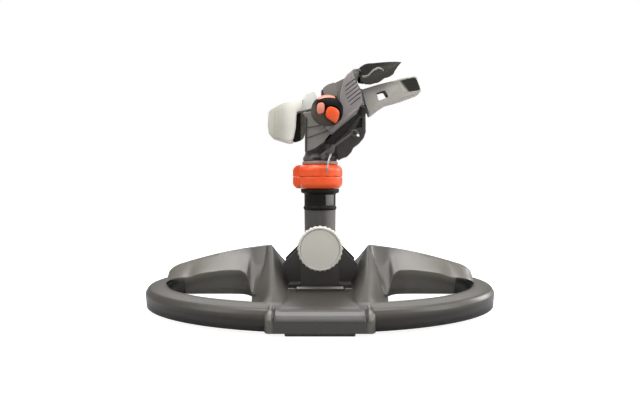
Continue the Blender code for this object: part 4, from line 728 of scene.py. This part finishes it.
def at_point(x, y, z):
    """The matrix that carries the origin to a point in millimetres."""
    return Matrix.Translation((x * MM, y * MM, z * MM))


RIB_TOP, SCREW_R, BOSS_R = 20.6, 2.0, 4.6
under_deck = []
for y in (-84, -52, -22, 22, 52, 84):
    half = float(np.interp(abs(y), [0, 60, 100], [64, 56, 47]))
    under_deck.append(bar(f"rib{y}", (-half, y - 1.1, SLED_FOOT), (half, y + 1.1, RIB_TOP)))
boss_profile = [
    (SCREW_R, SLED_FOOT), (BOSS_R, SLED_FOOT), (BOSS_R - 0.2, RIB_TOP), (SCREW_R, RIB_TOP),
    (SCREW_R, SLED_FOOT),
]
for x, y in ((-24, -31), (-24, 31), (24, -31), (24, 31)):
    under_deck.append(turned(f"boss{x}_{y}", boss_profile, at_point(x, y, 0), 40))
dress(joined("sled_ribs", under_deck), dark_grey, "base", "sled_base")

SILL_LOW = 22.3
sill_section = rounded(
    [(-43.6, SILL_LOW), (-43.6, 24.4), (-44.6, 24.8), (-44.5, 25.4), (-42.6, 27), (-41, 27.1),
     (-41, SILL_LOW)],
    [0, 0.2, 0.2, 0.2, 0.4, 0.3, 0], 4,
)
ends = np.array([-22.6, -22.3, 22.3, 22.6])[:, None]
shrink = np.array([0.3, 0, 0, 0.3])[:, None]
inward = np.sign(sill_section.mean(axis=0) - sill_section)
sill_grid = points(
    ends, sill_section[:, 0] + inward[:, 0] * shrink, sill_section[:, 1] + inward[:, 1] * shrink
)
sill = [
    surface("sill", sill_grid, around=True, caps=True, sharp=30),
    bar("pad_left", (-31.2, -43.8, SILL_LOW), (-23.4, -41, 25.6), 0.7),
    bar("pad_right", (23.4, -43.8, SILL_LOW), (31.2, -41, 25.6), 0.7),
]
dress(joined("deck_sill", sill), sled_grey, "base", "sled_base")

# %% [markdown]
# ## The clamp knob
# The rim is a shallow wave, one crest for each grip rib, that fades out where the knob turns over to its
# face: r = R + w (cos 28a - 1) / 2. The face is a shallow dish with a raised bead round it, and a disc
# closes it.

# %% The clamp knob and its disc
QUARTER_TURN = Matrix.Rotation(math.radians(-90), 4, "X")  # turns a profile's height into +Y
PIVOT_Z, KNOB_R, KNOB_BACK, KNOB_FRONT = 64.3, 21.8, -39.3, -49.8
KNOB_FACE, KNOB_RIBS = KNOB_FRONT + 1.7, 28


def about_pivot(r, angle, along):
    """Points about the tilt axis: x = r cos a, y = along, z = pivot + r sin a."""
    return points(r * np.cos(angle), along, PIVOT_Z + r * np.sin(angle))


def clamp_knob():
    """Rings about the tilt axis, with the wave on those of the rim."""
    a = np.linspace(0, 2 * math.pi, KNOB_RIBS * 12, endpoint=False)
    wave = (np.cos(a * KNOB_RIBS) - 1) / 2
    levels = rounded(
        [(7.8, KNOB_BACK), (20.2, KNOB_BACK), (KNOB_R, KNOB_BACK - 1.8), (KNOB_R, KNOB_FACE),
         (20.6, KNOB_FRONT), (18.9, KNOB_FRONT), (18.6, KNOB_FACE), (7.8, KNOB_FACE)],
        [0, 0.6, 0.8, 1.0, 0.8, 0.5, 0.3, 0], 6,
    )
    r, along = levels[:, :1], levels[:, 1:]
    grid = about_pivot(r + 0.85 * smooth_step(r, 20.4, 21.5) * wave, a, along)
    return surface("clamp_knob", grid, around=True, closed=True, sharp=50)


dress(clamp_knob(), knob_grey, "tilt_knob", "tilt_knob")
disc_section = rounded(
    [(0, KNOB_FRONT + 1.3), (18.5, KNOB_FRONT + 1.3), (18.5, KNOB_FRONT + 0.35), (16.6, KNOB_FRONT + 0.5),
     (0, KNOB_FRONT + 0.3)],
    [0, 0.1, 0.25, 3, 0], 5,
)
disc = turned("knob_disc", disc_section, at_point(0, 0, PIVOT_Z) @ QUARTER_TURN)
dress(disc, knob_grey, "tilt_knob", "tilt_knob_cap")

# %% [markdown]
# ## The bracket and the hose plug
# The black bracket keeps its shape, with its edges rounded as a mould leaves them. The plug behind it is
# turned: a ribbed collar to grip, the waist that a coupling's claws hold, and the nose with its seal
# groove.

# %% The bracket and the plug
bracket = from_solid("pivot_bracket", "bracket", 0.7 * MM, 3)
dress(bracket, dark_grey, "base", "pivot_bracket")


def hose_plug():
    """A turned profile whose collar carries 20 flat ribs: r = R - w where cos 20a is above zero,
    softened."""
    section = rounded(
        [(9.4, 30.4), (13.5, 30.4), (13.5, 44.3), (10.2, 46.3), (7.2, 48.3), (7.2, 51.3), (8.6, 53.3),
         (8.6, 65.3), (6.9, 65.3), (6.9, 67.9), (8.6, 67.9), (8.6, 72.3), (7.4, 74.3), (5.2, 74.3),
         (5.2, 44.3), (9.4, 44.3)],
        [0, 0.6, 1.0, 0.6, 0.8, 0.8, 0.8, 0.2, 0.2, 0.2, 0.2, 0.8, 0.8, 0.3, 0.1, 0], 4,
    )
    a = np.linspace(0, 2 * math.pi, 240, endpoint=False)
    r, along = section[:, :1], section[:, 1:]
    ribs = smooth_step(np.cos(a * 20), -0.3, 0.3)
    on_collar = smooth_step(along, 32, 32.6) - smooth_step(along, 42.2, 42.8)
    grid = about_pivot(r - 0.7 * ribs * (smooth_step(r, 12.8, 13.3) * on_collar), a, along)
    return surface("hose_plug", grid, around=True, closed=True, sharp=40)


dress(hose_plug(), satin_black, "base", "inlet_plug")

# %% [markdown]
# ## The riser and its sleeve
# The riser is a plain tube with its cross barrel. The black sleeve over its end has a bead at its foot,
# a flange at its top and a rough patch where its latch sits.

# %% The riser and the sleeve
# The riser's grey is paler on its right: painted highlight.
riser = from_solid("riser_tube", "riser", 0.35 * MM, 2, 24)
dress(riser, tube_painted_highlight, "riser", "riser_tube")
sleeve_section = rounded(
    [(14.3, 99.4), (16.8, 99.4), (17.4, 100.2), (17.4, 102.4), (16.4, 103.3), (16.4, 115.8),
     (19.6, 117.2), (20, 118), (20, 121.2), (15, 121.2), (15, 146.1), (8.8, 146.1), (8.8, 113.3),
     (14.3, 113.3), (14.3, 99.4)],
    [0, 0.3, 0.5, 0.5, 0.4, 1.2, 0.4, 0.5, 0.4, 0.3, 0.3, 0.3, 0.3, 0.3, 0], 5,
)
sleeve = turned("sleeve", sleeve_section, None, 160)
dress(sleeve, deep_black, "riser", "bearing_sleeve")


def latch():
    """A patch that follows the sleeve: r = R + t on a grid of angle and height, t falling to nothing at
    its edge."""
    across, up = np.linspace(-1, 1, 41)[:, None], np.linspace(-1, 1, 41)[None, :]
    edge = np.maximum(np.abs(across), np.abs(up)) ** 8
    angle = math.radians(-50) + across * math.radians(19.5) * (1 + 0.06 * up)
    radius = 16.3 + 0.95 * (1 - edge) * (0.9 + 0.1 * np.cos(up * 12) * np.cos(across * 5))
    return surface("latch", turned_points(radius, angle, 109.6 + up * 5.9), sharp=30)


dress(latch(), worn_black, "riser", "bearing_sleeve")

# %% [markdown]
# ## The two sector rings
# The rings above the sleeve are one shape used twice, upside down for the lower one: a deep chamfer
# away from the seam, fine flutes round the rim, and a lug that swells out of it. Their radius is the
# section's plus the lug's reach times b, where b is 1 on the lug and falls softly to 0 beside it.


# %% The two orange rings and their cap
RING_HEIGHT = 12
LUG_REACH = 5.05


def sector_ring(name, low, turned_over):
    """The rim's section turned about Z, with the lug at its far end of -X."""
    section = rounded(
        [(15.4, 0), (22.9, 0), (23.4, 0.6), (23.4, 8.2), (20.4, 11.6), (18.9, RING_HEIGHT),
         (15.4, RING_HEIGHT)],
        [0, 0.5, 0.4, 2.2, 1.6, 0.8, 0], 7,
    )
    angles = np.linspace(0, 2 * math.pi, 300, endpoint=False)
    r, height = section[:, :1], section[:, 1:]
    across = np.abs(np.sin(angles)) * 26
    on_lug = (np.cos(angles) < 0) * (1 - smooth_step(across, 4.2, 6.4))
    outward = smooth_step(r, 16.5, 20)
    flutes = 0.04 * np.cos(angles * 60) * smooth_step(r, 23.1, 23.35) * (1 - on_lug)
    taper = 1 - 0.12 * smooth_step(height, 7, RING_HEIGHT)
    radius = r + LUG_REACH * on_lug * outward * taper + flutes - 0.04
    height = RING_HEIGHT - height if turned_over else height
    return surface(name, turned_points(radius, angles, low + height), around=True, closed=True, sharp=50)


dress(sector_ring("ring_low", 121.5, True), bright_orange, "lower_ring", "lower_ring")
dress(sector_ring("ring_high", 133.8, False), bright_orange, "upper_ring", "upper_ring")
cap_section = rounded(
    [(8.8, 146.4), (18.6, 146.4), (18.6, 148.9), (17.4, 150.0), (8.8, 150.0), (8.8, 146.4)],
    [0, 0.3, 0.7, 0.9, 0.2, 0], 5,
)
dress(turned("ring_cap_ring", cap_section), cap_grey, "riser", "ring_cap")

# %% [markdown]
# ## The head
# The head keeps its imported shape with rounded edges. Its keel and its neck are darker than its flanks, so
# each gets a thin dark skin over it. The neck is dark grey, and its skin also carries painted light, paler
# on its left side. A black skin along the foot of the near flank is painted shade below the cover's lip,
# and a dark strip down the flank's left edge is painted shade where it curves away. Two raised ribs cross
# the near flank, a cheek closes its upper corner beside the arm, and a dark plate lies on its back.

# %% The head's body
JET_TILT = math.radians(18)
HEAD = at_point(18, 0, 221) @ Matrix.Rotation(-JET_TILT, 4, "Y")


def plate(name, outline, low, high, corner=0.6, edge=0.4, matrix=None):
    """An outline of (x, z) points in millimetres carried from y = low to y = high, its corners and edges
    rounded."""
    outline = loop_rounded(outline, corner, 4)
    grid = placed(points(outline[:, 0], np.array([[low], [high]]), outline[:, 1]), matrix)
    piece = surface(name, grid, around=True, caps=True, sharp=30)
    return soften(piece, edge * MM, 3, 50) if edge else piece


head = from_solid("head_body", "head_casting", 0.6 * MM, 3)
dress(head, body_grey, "head", "head_body")
keel = plate(
    "keel_plate",
    [(-3.8, 157.2), (9, 152.2), (19, 152.3), (19, 170.2), (28, 178.9), (40.6, 195.2), (44.6, 199),
     (46, 202.6), (41.4, 205.4), (37.2, 197.4), (24, 187.1), (11.3, 176.3), (-3.8, 158.5)],
    -8.2, 8.2, 0.3, 0.0,
)
stop = plate("keel_stop", [(40.5, 203.5), (46.8, 205.2), (48.6, 199), (43, 196)], -9.6, -8.1, 0.6, 0.3)
dress(joined("head_keel", [keel, stop]), satin_black, "head", "head_body")
neck_section = rounded(
    [(17.4, 150.4), (17.75, 150.7), (17.75, 153.4), (15.75, 156.9), (14.85, 163), (14.75, 166.8),
     (13.8, 166.8), (13.8, 151)],
    [0, 0.2, 1.2, 1.2, 0.2, 0.2, 0.2, 0], 5,
)
dress(turned("head_neck", neck_section), neck_painted_light, "head", "head_body")
# A black skin along the foot of the near flank: painted shade below the cover's lip.
foot = plate(
    "flank_painted_shade",
    [(-15.2, 158.3), (-5.1, 162.4), (3.1, 168.3), (10.6, 174.4), (11.4, 176.6), (10, 176.6), (-4.4, 158.2)],
    -15.25, -14.5, 0.4, 0.2,
)
dress(foot, satin_black, "head", "head_body")
cheek = plate(
    "head_cheek", [(-14.3, -0.8), (-13.2, -5.4), (-1, -5.4), (-1, 8.8), (-8, 8.6), (-13, 7), (-14.4, 5.8)],
    -15.3, -13.0, 0.8, 0.4, HEAD,
)
dress(cheek, body_grey, "head", "head_body")
back = plate(
    "head_back", [(-14.8, 196), (-14.8, 204.6), (-8, 206.8), (-1, 206.8), (-1, 197)], 8.9, 9.5, 0.8, 0.1
)
dress(back, matt_black, "head", "head_body")
high_rib = [(-14.2, 182.6), (4.2, 185.9), (4.2, 186.7), (-14.2, 183.4)]
low_rib = [(-13.2, 172.4), (8.2, 179.7), (8.0, 180.5), (-13.4, 173.2)]
# A dark strip down the flank's left edge: painted shade where the flank curves away.
flank_edge_painted_shade = [(-15.3, 159.4), (-13.3, 159.4), (-12.9, 192.5), (-14.9, 194.6)]
ribs = [
    plate("flank_rib_high", high_rib, -15.35, -14.4, 0.2, 0.15),
    plate("flank_rib_low", low_rib, -15.35, -14.4, 0.2, 0.15),
    plate("flank_edge_painted_shade", flank_edge_painted_shade, -15.3, -14.4, 0.6, 0.3),
]
dress(joined("flank_ribs", ribs), dark_grey, "head", "head_body")
cover = from_solid("side_cover", "cover", 0.35 * MM, 3)
dress(cover, cover_grey, "head", "side_cover")

# %% [markdown]
# ## The range knob
# A dome on a tilted axis. Its height over the axis distance r is one smooth curve, and round each inlay
# it sinks by a moat, so the three coloured inlays stand in dark rings. An inlay is a patch of the same
# dome, a little proud, within a rounded-square outline |u|^n + |v|^n = 1, where u runs outward from a
# bend's centre and v round it.

# %% The range knob and its inlays
RANGE_TILT = math.radians(18)
RANGE_AXIS = Vector((0, -math.cos(RANGE_TILT), math.sin(RANGE_TILT)))
RANGE_TURN = Vector((0, 0, 1)).rotation_difference(RANGE_AXIS).to_matrix().to_4x4()
RANGE_FRAME = at_point(7, -22.8, 197.8) @ RANGE_TURN
SQUARENESS = 2.8  # the power n of the inlays' outline
DOME_R, MOAT_DEPTH, PATCH_RISE = 16, 1.15, 0.4
dome_r = [0, 2, 4, 6, 8.5, 11, 13, 14.6, 15.6, DOME_R]
dome_h = [14, 13.95, 13.75, 13.4, 12.6, 11.3, 9.7, 7.6, 5.4, 3.2]
# For each inlay: its middle x and y, the way it faces in degrees, the bend's radius and two half sizes.
INLAYS = {
    "range_inlay_top": (-0.9, 11.8, 97, 24, 2.8, 9.2),
    "range_inlay_left": (-6.4, -2.2, 180, 60, 3.7, 5.6),
    "range_inlay_right": (5.1, -7.5, -17, 90, 6.4, 5.9),
}


def power_length(u, v):
    """The length of (u, v) for which a rounded square is the unit circle."""
    return (np.abs(u) ** SQUARENESS + np.abs(v) ** SQUARENESS) ** (1 / SQUARENESS)


def inlay_distance(x, y, inlay):
    """How far a point is from an inlay's middle, in units of its half size: below 1 it is inside."""
    middle_x, middle_y, direction, bend, half_u, half_v = inlay
    a = math.radians(direction)
    dx, dy = x - middle_x + bend * math.cos(a), y - middle_y + bend * math.sin(a)
    turn = np.arctan2(dy * math.cos(a) - dx * math.sin(a), dx * math.cos(a) + dy * math.sin(a))
    return power_length((np.hypot(dx, dy) - bend) / half_u, turn * bend / half_v)


def range_dome():
    """z = dome(r) less the moats, on rings of r and angle; then the rim's wall down to the foot."""
    a = np.linspace(0, 2 * math.pi, 220, endpoint=False)[None, :]
    r = np.concatenate([np.linspace(0, 14.2, 76), np.linspace(14.4, DOME_R, 16)])[:, None]
    x, y = r * np.cos(a), r * np.sin(a)
    z = through(r, dome_r, dome_h) + 0 * a
    for inlay in INLAYS.values():
        z = z - MOAT_DEPTH * (1 - smooth_step(inlay_distance(x, y, inlay), 1.14, 1.32))
    foot_r, foot_z = np.array([[DOME_R, 15.8, 15.2, 3.4], [1.4, 0.4, 0, 0]])[:, :, None]
    grid = np.concatenate([points(x, y, z), turned_points(foot_r, a, foot_z)])
    return surface("range_dome", placed(grid, RANGE_FRAME), around=True, sharp=60)


def range_patch(name, inlay):
    """Rings of share s within the outline: the patch stands proud and turns down at its edge."""
    turn = np.linspace(0, 2 * math.pi, 96, endpoint=False)[None, :]
    share = np.concatenate([np.linspace(0, 0.9, 14), [0.95, 0.98, 1.0, 1.0]])[:, None]
    proud = np.concatenate([np.full(14, PATCH_RISE), [0.36, 0.22, 0.0, -1.3]])[:, None]
    reach = 1 / power_length(np.cos(turn), np.sin(turn))
    middle_x, middle_y, direction, bend, half_u, half_v = inlay
    out, facing = bend + half_u * share * reach * np.cos(turn), math.radians(direction)
    angle = facing + half_v * share * reach * np.sin(turn) / bend
    x = middle_x - bend * math.cos(facing) + out * np.cos(angle)
    y = middle_y - bend * math.sin(facing) + out * np.sin(angle)
    r = np.minimum(np.hypot(x, y), 15.8)
    grid = points(x, y, through(r, dome_r, dome_h) + proud)
    return surface(name, placed(grid, RANGE_FRAME), around=True, sharp=60)


dress(range_dome(), range_dome_painted_light, "range_knob", "range_knob")
for node, inlay in INLAYS.items():
    # The top and left inlays are orange like the right one; their peach is painted highlight.
    colour = orange_painted_highlight if node != "range_inlay_right" else bright_orange
    dress(range_patch(node + "_patch", inlay), colour, "range_knob", node)

# %% [markdown]
# ## The deflector
# A visor over the jet. Its sections are half ellipses, deepest near the hinge and on the near side, and
# they run out to a point. A keel line along its crown and a step on its near side are what catch the
# light. A raised ridge in the shape of a flat roof crosses the near side.

# %% The deflector's hood and its hinge
HOOD_START, HOOD_TIP = 39.2, 84.6
flap_x = [HOOD_START, 43, 46, 57, 72, HOOD_TIP]
flap_top = [245.4, 248.8, 250.5, 252.1, 253.3, 253.5]
flap_low_x = [HOOD_START, 41, 46, 50, 58, 62, 66.5, 72, 75.4, 76.8, 80.4, HOOD_TIP]
flap_low = [240.4, 229.6, 226.6, 226.8, 228.6, 231, 234.2, 236.5, 238.8, 242.2, 247.6, 252.2]
flap_wide_x = [HOOD_START, 43, 58, 70, 78, HOOD_TIP]
flap_wide = [17.3, 17, 14.6, 10.5, 6.4, 1.8]
ridge_x = [42, 49, 52.4, 56, 59.4, 62, 66.5]
ridge_z = [233.6, 235.6, 239.4, 242.4, 244, 243.2, 240.2]


def hood_arch(x):
    """The roof's height, the half width and the lower edge's height at each x."""
    roof, half = through(x, flap_x, flap_top), through(x, flap_wide_x, flap_wide)
    return roof, half, np.interp(x, flap_low_x, flap_low)


def hood():
    """At each x an outer arch, half wide and roof - edge high, with its own inner arch a wall further
    in. On the far side the edge is higher. The step reaches step_top degrees up from the near edge."""
    x = np.linspace(HOOD_START, HOOD_TIP, 100)[:, None]
    roof, half, edge = hood_arch(x)
    edge = edge + 0.2 * np.sin(x * 0.7)
    degrees = np.linspace(-90, 90, 61)[None, :]
    turn = np.radians(degrees)
    edge = edge + 0.3 * (roof - edge) * smooth_step(degrees, -5, 40)
    thin = np.minimum(np.minimum(1.9, 0.45 * (roof - edge)), 0.6 * half)
    crown = 0.45 * np.exp(-((degrees / 5) ** 2)) * smooth_step(roof - edge, 1, 6)
    off_middle = np.abs(x - 58)
    step_top = 43 + 7 * (1 - np.minimum(off_middle / 7, 1)) ** 0.8 - 5 * smooth_step(off_middle, 7, 14)
    step = 0.55 * smooth_step(-degrees, 90 - step_top, 93 - step_top) * smooth_step(half, 2, 8)
    outer_z = edge + (roof - crown.max() - edge) * np.cos(turn) + crown
    outer = points(x, (half + step - 0.55) * np.sin(turn), outer_z)
    inner_z = edge + (roof - thin - 0.5 - edge) * np.cos(turn)
    inner = points(x, (half - thin - 0.3) * np.sin(turn), inner_z)
    grid = np.concatenate([outer, inner[:, ::-1]], axis=1)
    return surface("hood", grid, around=True, caps=True, sharp=45)


def hood_ridge():
    """A thin crowned strip that follows the hood's near side: at height z on the ellipse
    y = -half sqrt(1 - e^2), e = (z - edge) / (roof - edge), plus a crown 1 - s^4 over its width s."""
    x = np.linspace(42.4, ridge_x[-1], 70)[:, None]
    share = np.linspace(-1, 1, 13)[None, :]
    z = through(x, ridge_x, ridge_z) + 1.7 * share
    roof, half, edge = hood_arch(x)
    up = np.clip((z - edge) / (roof - edge), 0, 0.99)
    crown = 1.1 * (1 - share**4) * smooth_step(ridge_x[-1] - x, 0, 3)
    return surface("hood_ridge", points(x, -(half - 0.3) * np.sqrt(1 - up**2) + 0.3 - crown, z), sharp=60)


dress(hood(), hood_painted_shade, "deflector", "deflector_flap")
dress(hood_ridge(), sled_grey, "deflector", "deflector_flap")
knuckle_section = rounded(
    [(1.5, -10.7), (3.2, -10.7), (3.2, 10.7), (1.5, 10.7), (1.5, -10.7)], [0, 0.5, 0.5, 0.2, 0], 4
)
hinge_arm = [(36.3, 240.2), (39.4, 237.6), (45.2, 241.9), (46, 248.4), (43.4, 246.2)]
hinge = [
    turned("knuckle", knuckle_section, at_point(37.2, 0, 239.6) @ QUARTER_TURN, 64),
    plate("hinge_arm", hinge_arm, -8.3, 8.3, 0.5, 0.3),
]
dress(joined("hood_hinge", hinge), satin_black, "deflector", "deflector_flap")

# %% [markdown]
# ## The arm, the weight and the trip
# The arm, the scoop and the weight keep their imported shapes, with the edges rounded. The arm's pale grey
# carries painted shade along its top edge. The weight is an off-white shell with faint upright ribs and a
# pale saddle above it; its colour carries painted shade, darker towards its outer end, and a dark plate on
# its far side is painted shadow in its hollow towards the head. A thin plate beside the scoop, with painted
# shade, stands for the shadowed hollow that leads into it. The trip is made anew: a flat bar with a finger
# and a boss, on a hub round its pin.

# %% The arm, its scoop, the weight and the trip
arm = from_solid("impulse_arm", "arm_casting", 0.6 * MM, 3)
dress(arm, arm_grey, "arm", "impulse_arm")
scoop = from_solid("scoop_insert", "scoop", 0.25 * MM, 2)
dress(scoop, satin_black, "arm", "scoop_insert")
weight = from_solid("counterweight", "weight_shell", 0.5 * MM, 3)
dress(weight, weight_painted_shade, "arm", "counterweight")
RIB_WIDTH = 1.1
weight_ribs = []
for x in (-47.4, -44.2, -41, -37.8):
    low, high = 177 - 0.27 * (x + 47.8), 200.3 + 0.37 * (x + 48)
    rib = [(x, low), (x + RIB_WIDTH, low), (x + RIB_WIDTH, high), (x, high)]
    weight_ribs.append(plate(f"rib{x}", rib, -14.5, -13.4, 0.3, 0.2))
dress(joined("weight_ribs", weight_ribs), weight_painted_shade, "arm", "counterweight")
saddle = plate(
    "weight_saddle",
    [(-47, -6.2), (-34.5, -7.7), (-24, -7.7), (-20, -6), (-20, -2), (-21.8, 2), (-21.9, 7.8),
     (-24, 8.6), (-29.2, 9.2), (-33.6, 8), (-36.6, 6.2), (-37.2, 2.8), (-47, 3.6)],
    -5.8, 8.2, 0.7, 0.5, HEAD,
)
dress(saddle, saddle_white, "arm", "impulse_arm")
# A dark plate on the weight's far side: painted shadow in the hollow towards the head.
lining = plate(
    "weight_lining_painted_shadow",
    [(-31, 171.2), (-26, 170.8), (-20.6, 172.6), (-17.4, 175.4), (-16.3, 179), (-16.1, 198),
     (-16.2, 205.4), (-24, 206.6), (-34, 202)],
    9.6, 13.4, 1.2, 0.5,
)
dress(lining, lining_painted_shadow, "arm", "counterweight")
cradle = from_solid("trip_bracket", "trip_cradle", 0.5 * MM, 2)
dress(cradle, dark_grey, "head", "trip_bracket")
hub_section = rounded(
    [(1.75, -21.5), (3.4, -21.5), (3.4, -18.8), (1.75, -18.8), (1.75, -21.5)], [0, 0.4, 0.3, 0.1, 0], 4
)
trip_arm = [(0.8, 155.9), (1.8, 154.1), (31.8, 175.2), (33, 177), (31.6, 178)]
trip_finger = [(0.6, 156.4), (1.6, 150.6), (5.4, 151), (5.6, 157)]
trip_boss = [(9, 158.6), (10.4, 156.4), (14.4, 158), (15.2, 163.6), (12.6, 166.2)]
trip = [
    turned("trip_hub", hub_section, at_point(34.4, 0, 177.4) @ QUARTER_TURN, 64),
    plate("trip_arm", trip_arm, -21.2, -19.1, 0.5, 0.3),
    plate("trip_finger", trip_finger, -21.1, -19.2, 0.5, 0.3),
    plate("trip_boss", trip_boss, -22.3, -18.6, 0.8, 0.5),
]
dress(joined("trip_bar", trip), trip_grey, "trip_lever", "trip_lever")
jet_nozzle = from_solid("nozzle", "jet_nozzle", 0.15 * MM, 2)
dress(jet_nozzle, satin_black, "head", "nozzle")
# A thin plate beside the scoop with painted shade: the shadowed hollow that leads into it.
shade = plate(
    "scoop_painted_shadow",
    [(62.5, -9.2), (79.4, -10.6), (80.6, -12), (81.8, -23.2), (80.4, -24.4), (62.5, -21.8)],
    -8.16, -7.6, 1.6, 0.1, HEAD,
)
dress(shade, scoop_painted_shade, "arm", "impulse_arm")

# %% [markdown]
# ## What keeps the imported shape
# Small pins, screws and inner pieces are already right as packed, so they only get a finish.

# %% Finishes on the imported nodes
slot_finish = {
    "shell_grey": sled_grey,
    "cover_grey": cover_grey,
    "black": satin_black,
    "tube_grey": tube_grey,
    "knob_grey": knob_grey,
    "arm_grey": arm_grey,
    "weight_grey": weight_painted_shade,
    "orange": bright_orange,
    "cap_grey": cap_grey,
    "steel": steel,
    "seal_black": seal_rubber,
}
own_finish = {"trip_pin": satin_black, "trip_wire": wire_steel}
for entry in frame["record"]["subparts"]:
    mesh = frame["nodes"][entry["node"]].data
    mesh.materials.clear()
    mesh.materials.append(own_finish.get(entry["node"], slot_finish[entry["material_slot"]]))

# %% [markdown]
# ## The studio
# A white sweep without a visible edge. The floor is a little brighter to the camera than to the object,
# so that it reads as white paper and still keeps the shadow. The sky does the same: white behind the
# object, and dim as a source of light.


# %% The floor and the world
PAPER_GLOW, SKY_LIGHT = 0.92, 0.28
FLOOR = 6000  # the floor's half size, in mm
finish = Finish("paper")
seen = finish.add("LightPath")
paper = finish.add("BsdfDiffuse", None, {"Color": (0.45, 0.45, 0.45)})
glow = finish.add("Emission", None, {"Color": (1, 1, 1), "Strength": PAPER_GLOW})
both = finish.add("AddShader", None, {0: paper, 1: glow})
mixed = finish.add("MixShader", None, {0: seen, 1: paper, 2: both})
finish.tree.links.new(mixed.socket, finish.output.inputs["Surface"])
ends = np.array([-FLOOR, FLOOR], float)
floor = surface("floor", points(ends[None, :], ends[:, None], 0.0))
floor.data.materials.append(finish.material)
floor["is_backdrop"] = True

world = bpy.data.worlds.new("studio")
world.use_nodes = True
bpy.context.scene.world = world
nodes, links = world.node_tree.nodes, world.node_tree.links
nodes.clear()
path = nodes.new("ShaderNodeLightPath")
choice, out = nodes.new("ShaderNodeMixShader"), nodes.new("ShaderNodeOutputWorld")
links.new(path.outputs["Is Camera Ray"], choice.inputs[0])
for place, strength in ((1, SKY_LIGHT), (2, 1.0)):
    background = nodes.new("ShaderNodeBackground")
    background.inputs["Color"].default_value = (1, 1, 1, 1)
    background.inputs["Strength"].default_value = strength
    links.new(background.outputs[0], choice.inputs[place])
links.new(choice.outputs[0], out.inputs["Surface"])
print("white floor and sky")

# %% [markdown]
# ## The lights
# The main light is a wide box straight above: slopes that face up and forward mirror it and go pale,
# while upright faces mirror the dim room and stay dark. A weak light from each front side opens the
# shadows. A small one on the right and a little behind puts a rim on the sled's right end, and one from
# behind puts a sheen on the level tops.


# %% The lights
def softbox(name, place, aim, width, height, watts):
    """A rectangular light at a place, turned to face a point."""
    light = bpy.data.lights.new(name, "AREA")
    light.shape = "RECTANGLE"
    light.size, light.size_y = width, height
    light.energy = watts
    made = bpy.data.objects.new(name, light)
    bpy.context.scene.collection.objects.link(made)
    made.location = place
    made.rotation_euler = (Vector(aim) - Vector(place)).to_track_quat("-Z", "Y").to_euler()


softbox("top", (0, -0.1, 1.25), (0, 0, 0.05), 1.5, 0.9, 28)
softbox("left", (-1.1, -0.7, 0.9), (0, 0, 0.15), 0.5, 0.9, 5.5)
softbox("right", (1.2, -0.5, 0.8), (0, 0, 0.15), 0.4, 0.9, 9)
softbox("rim", (1.25, 0.45, 0.5), (0.1, 0, 0.05), 0.35, 0.5, 8)
softbox("back", (0, 1.1, 0.8), (0, 0, 0.1), 1.6, 0.5, 5)
print("five soft lights")

# %% [markdown]
# ## The last line
# The box of the dressed model is measured and printed, in millimetres.

# %% The dressed model's size
low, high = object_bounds()
print("dressed model, mm:", [round((b - a) / MM, 1) for a, b in zip(low, high)])
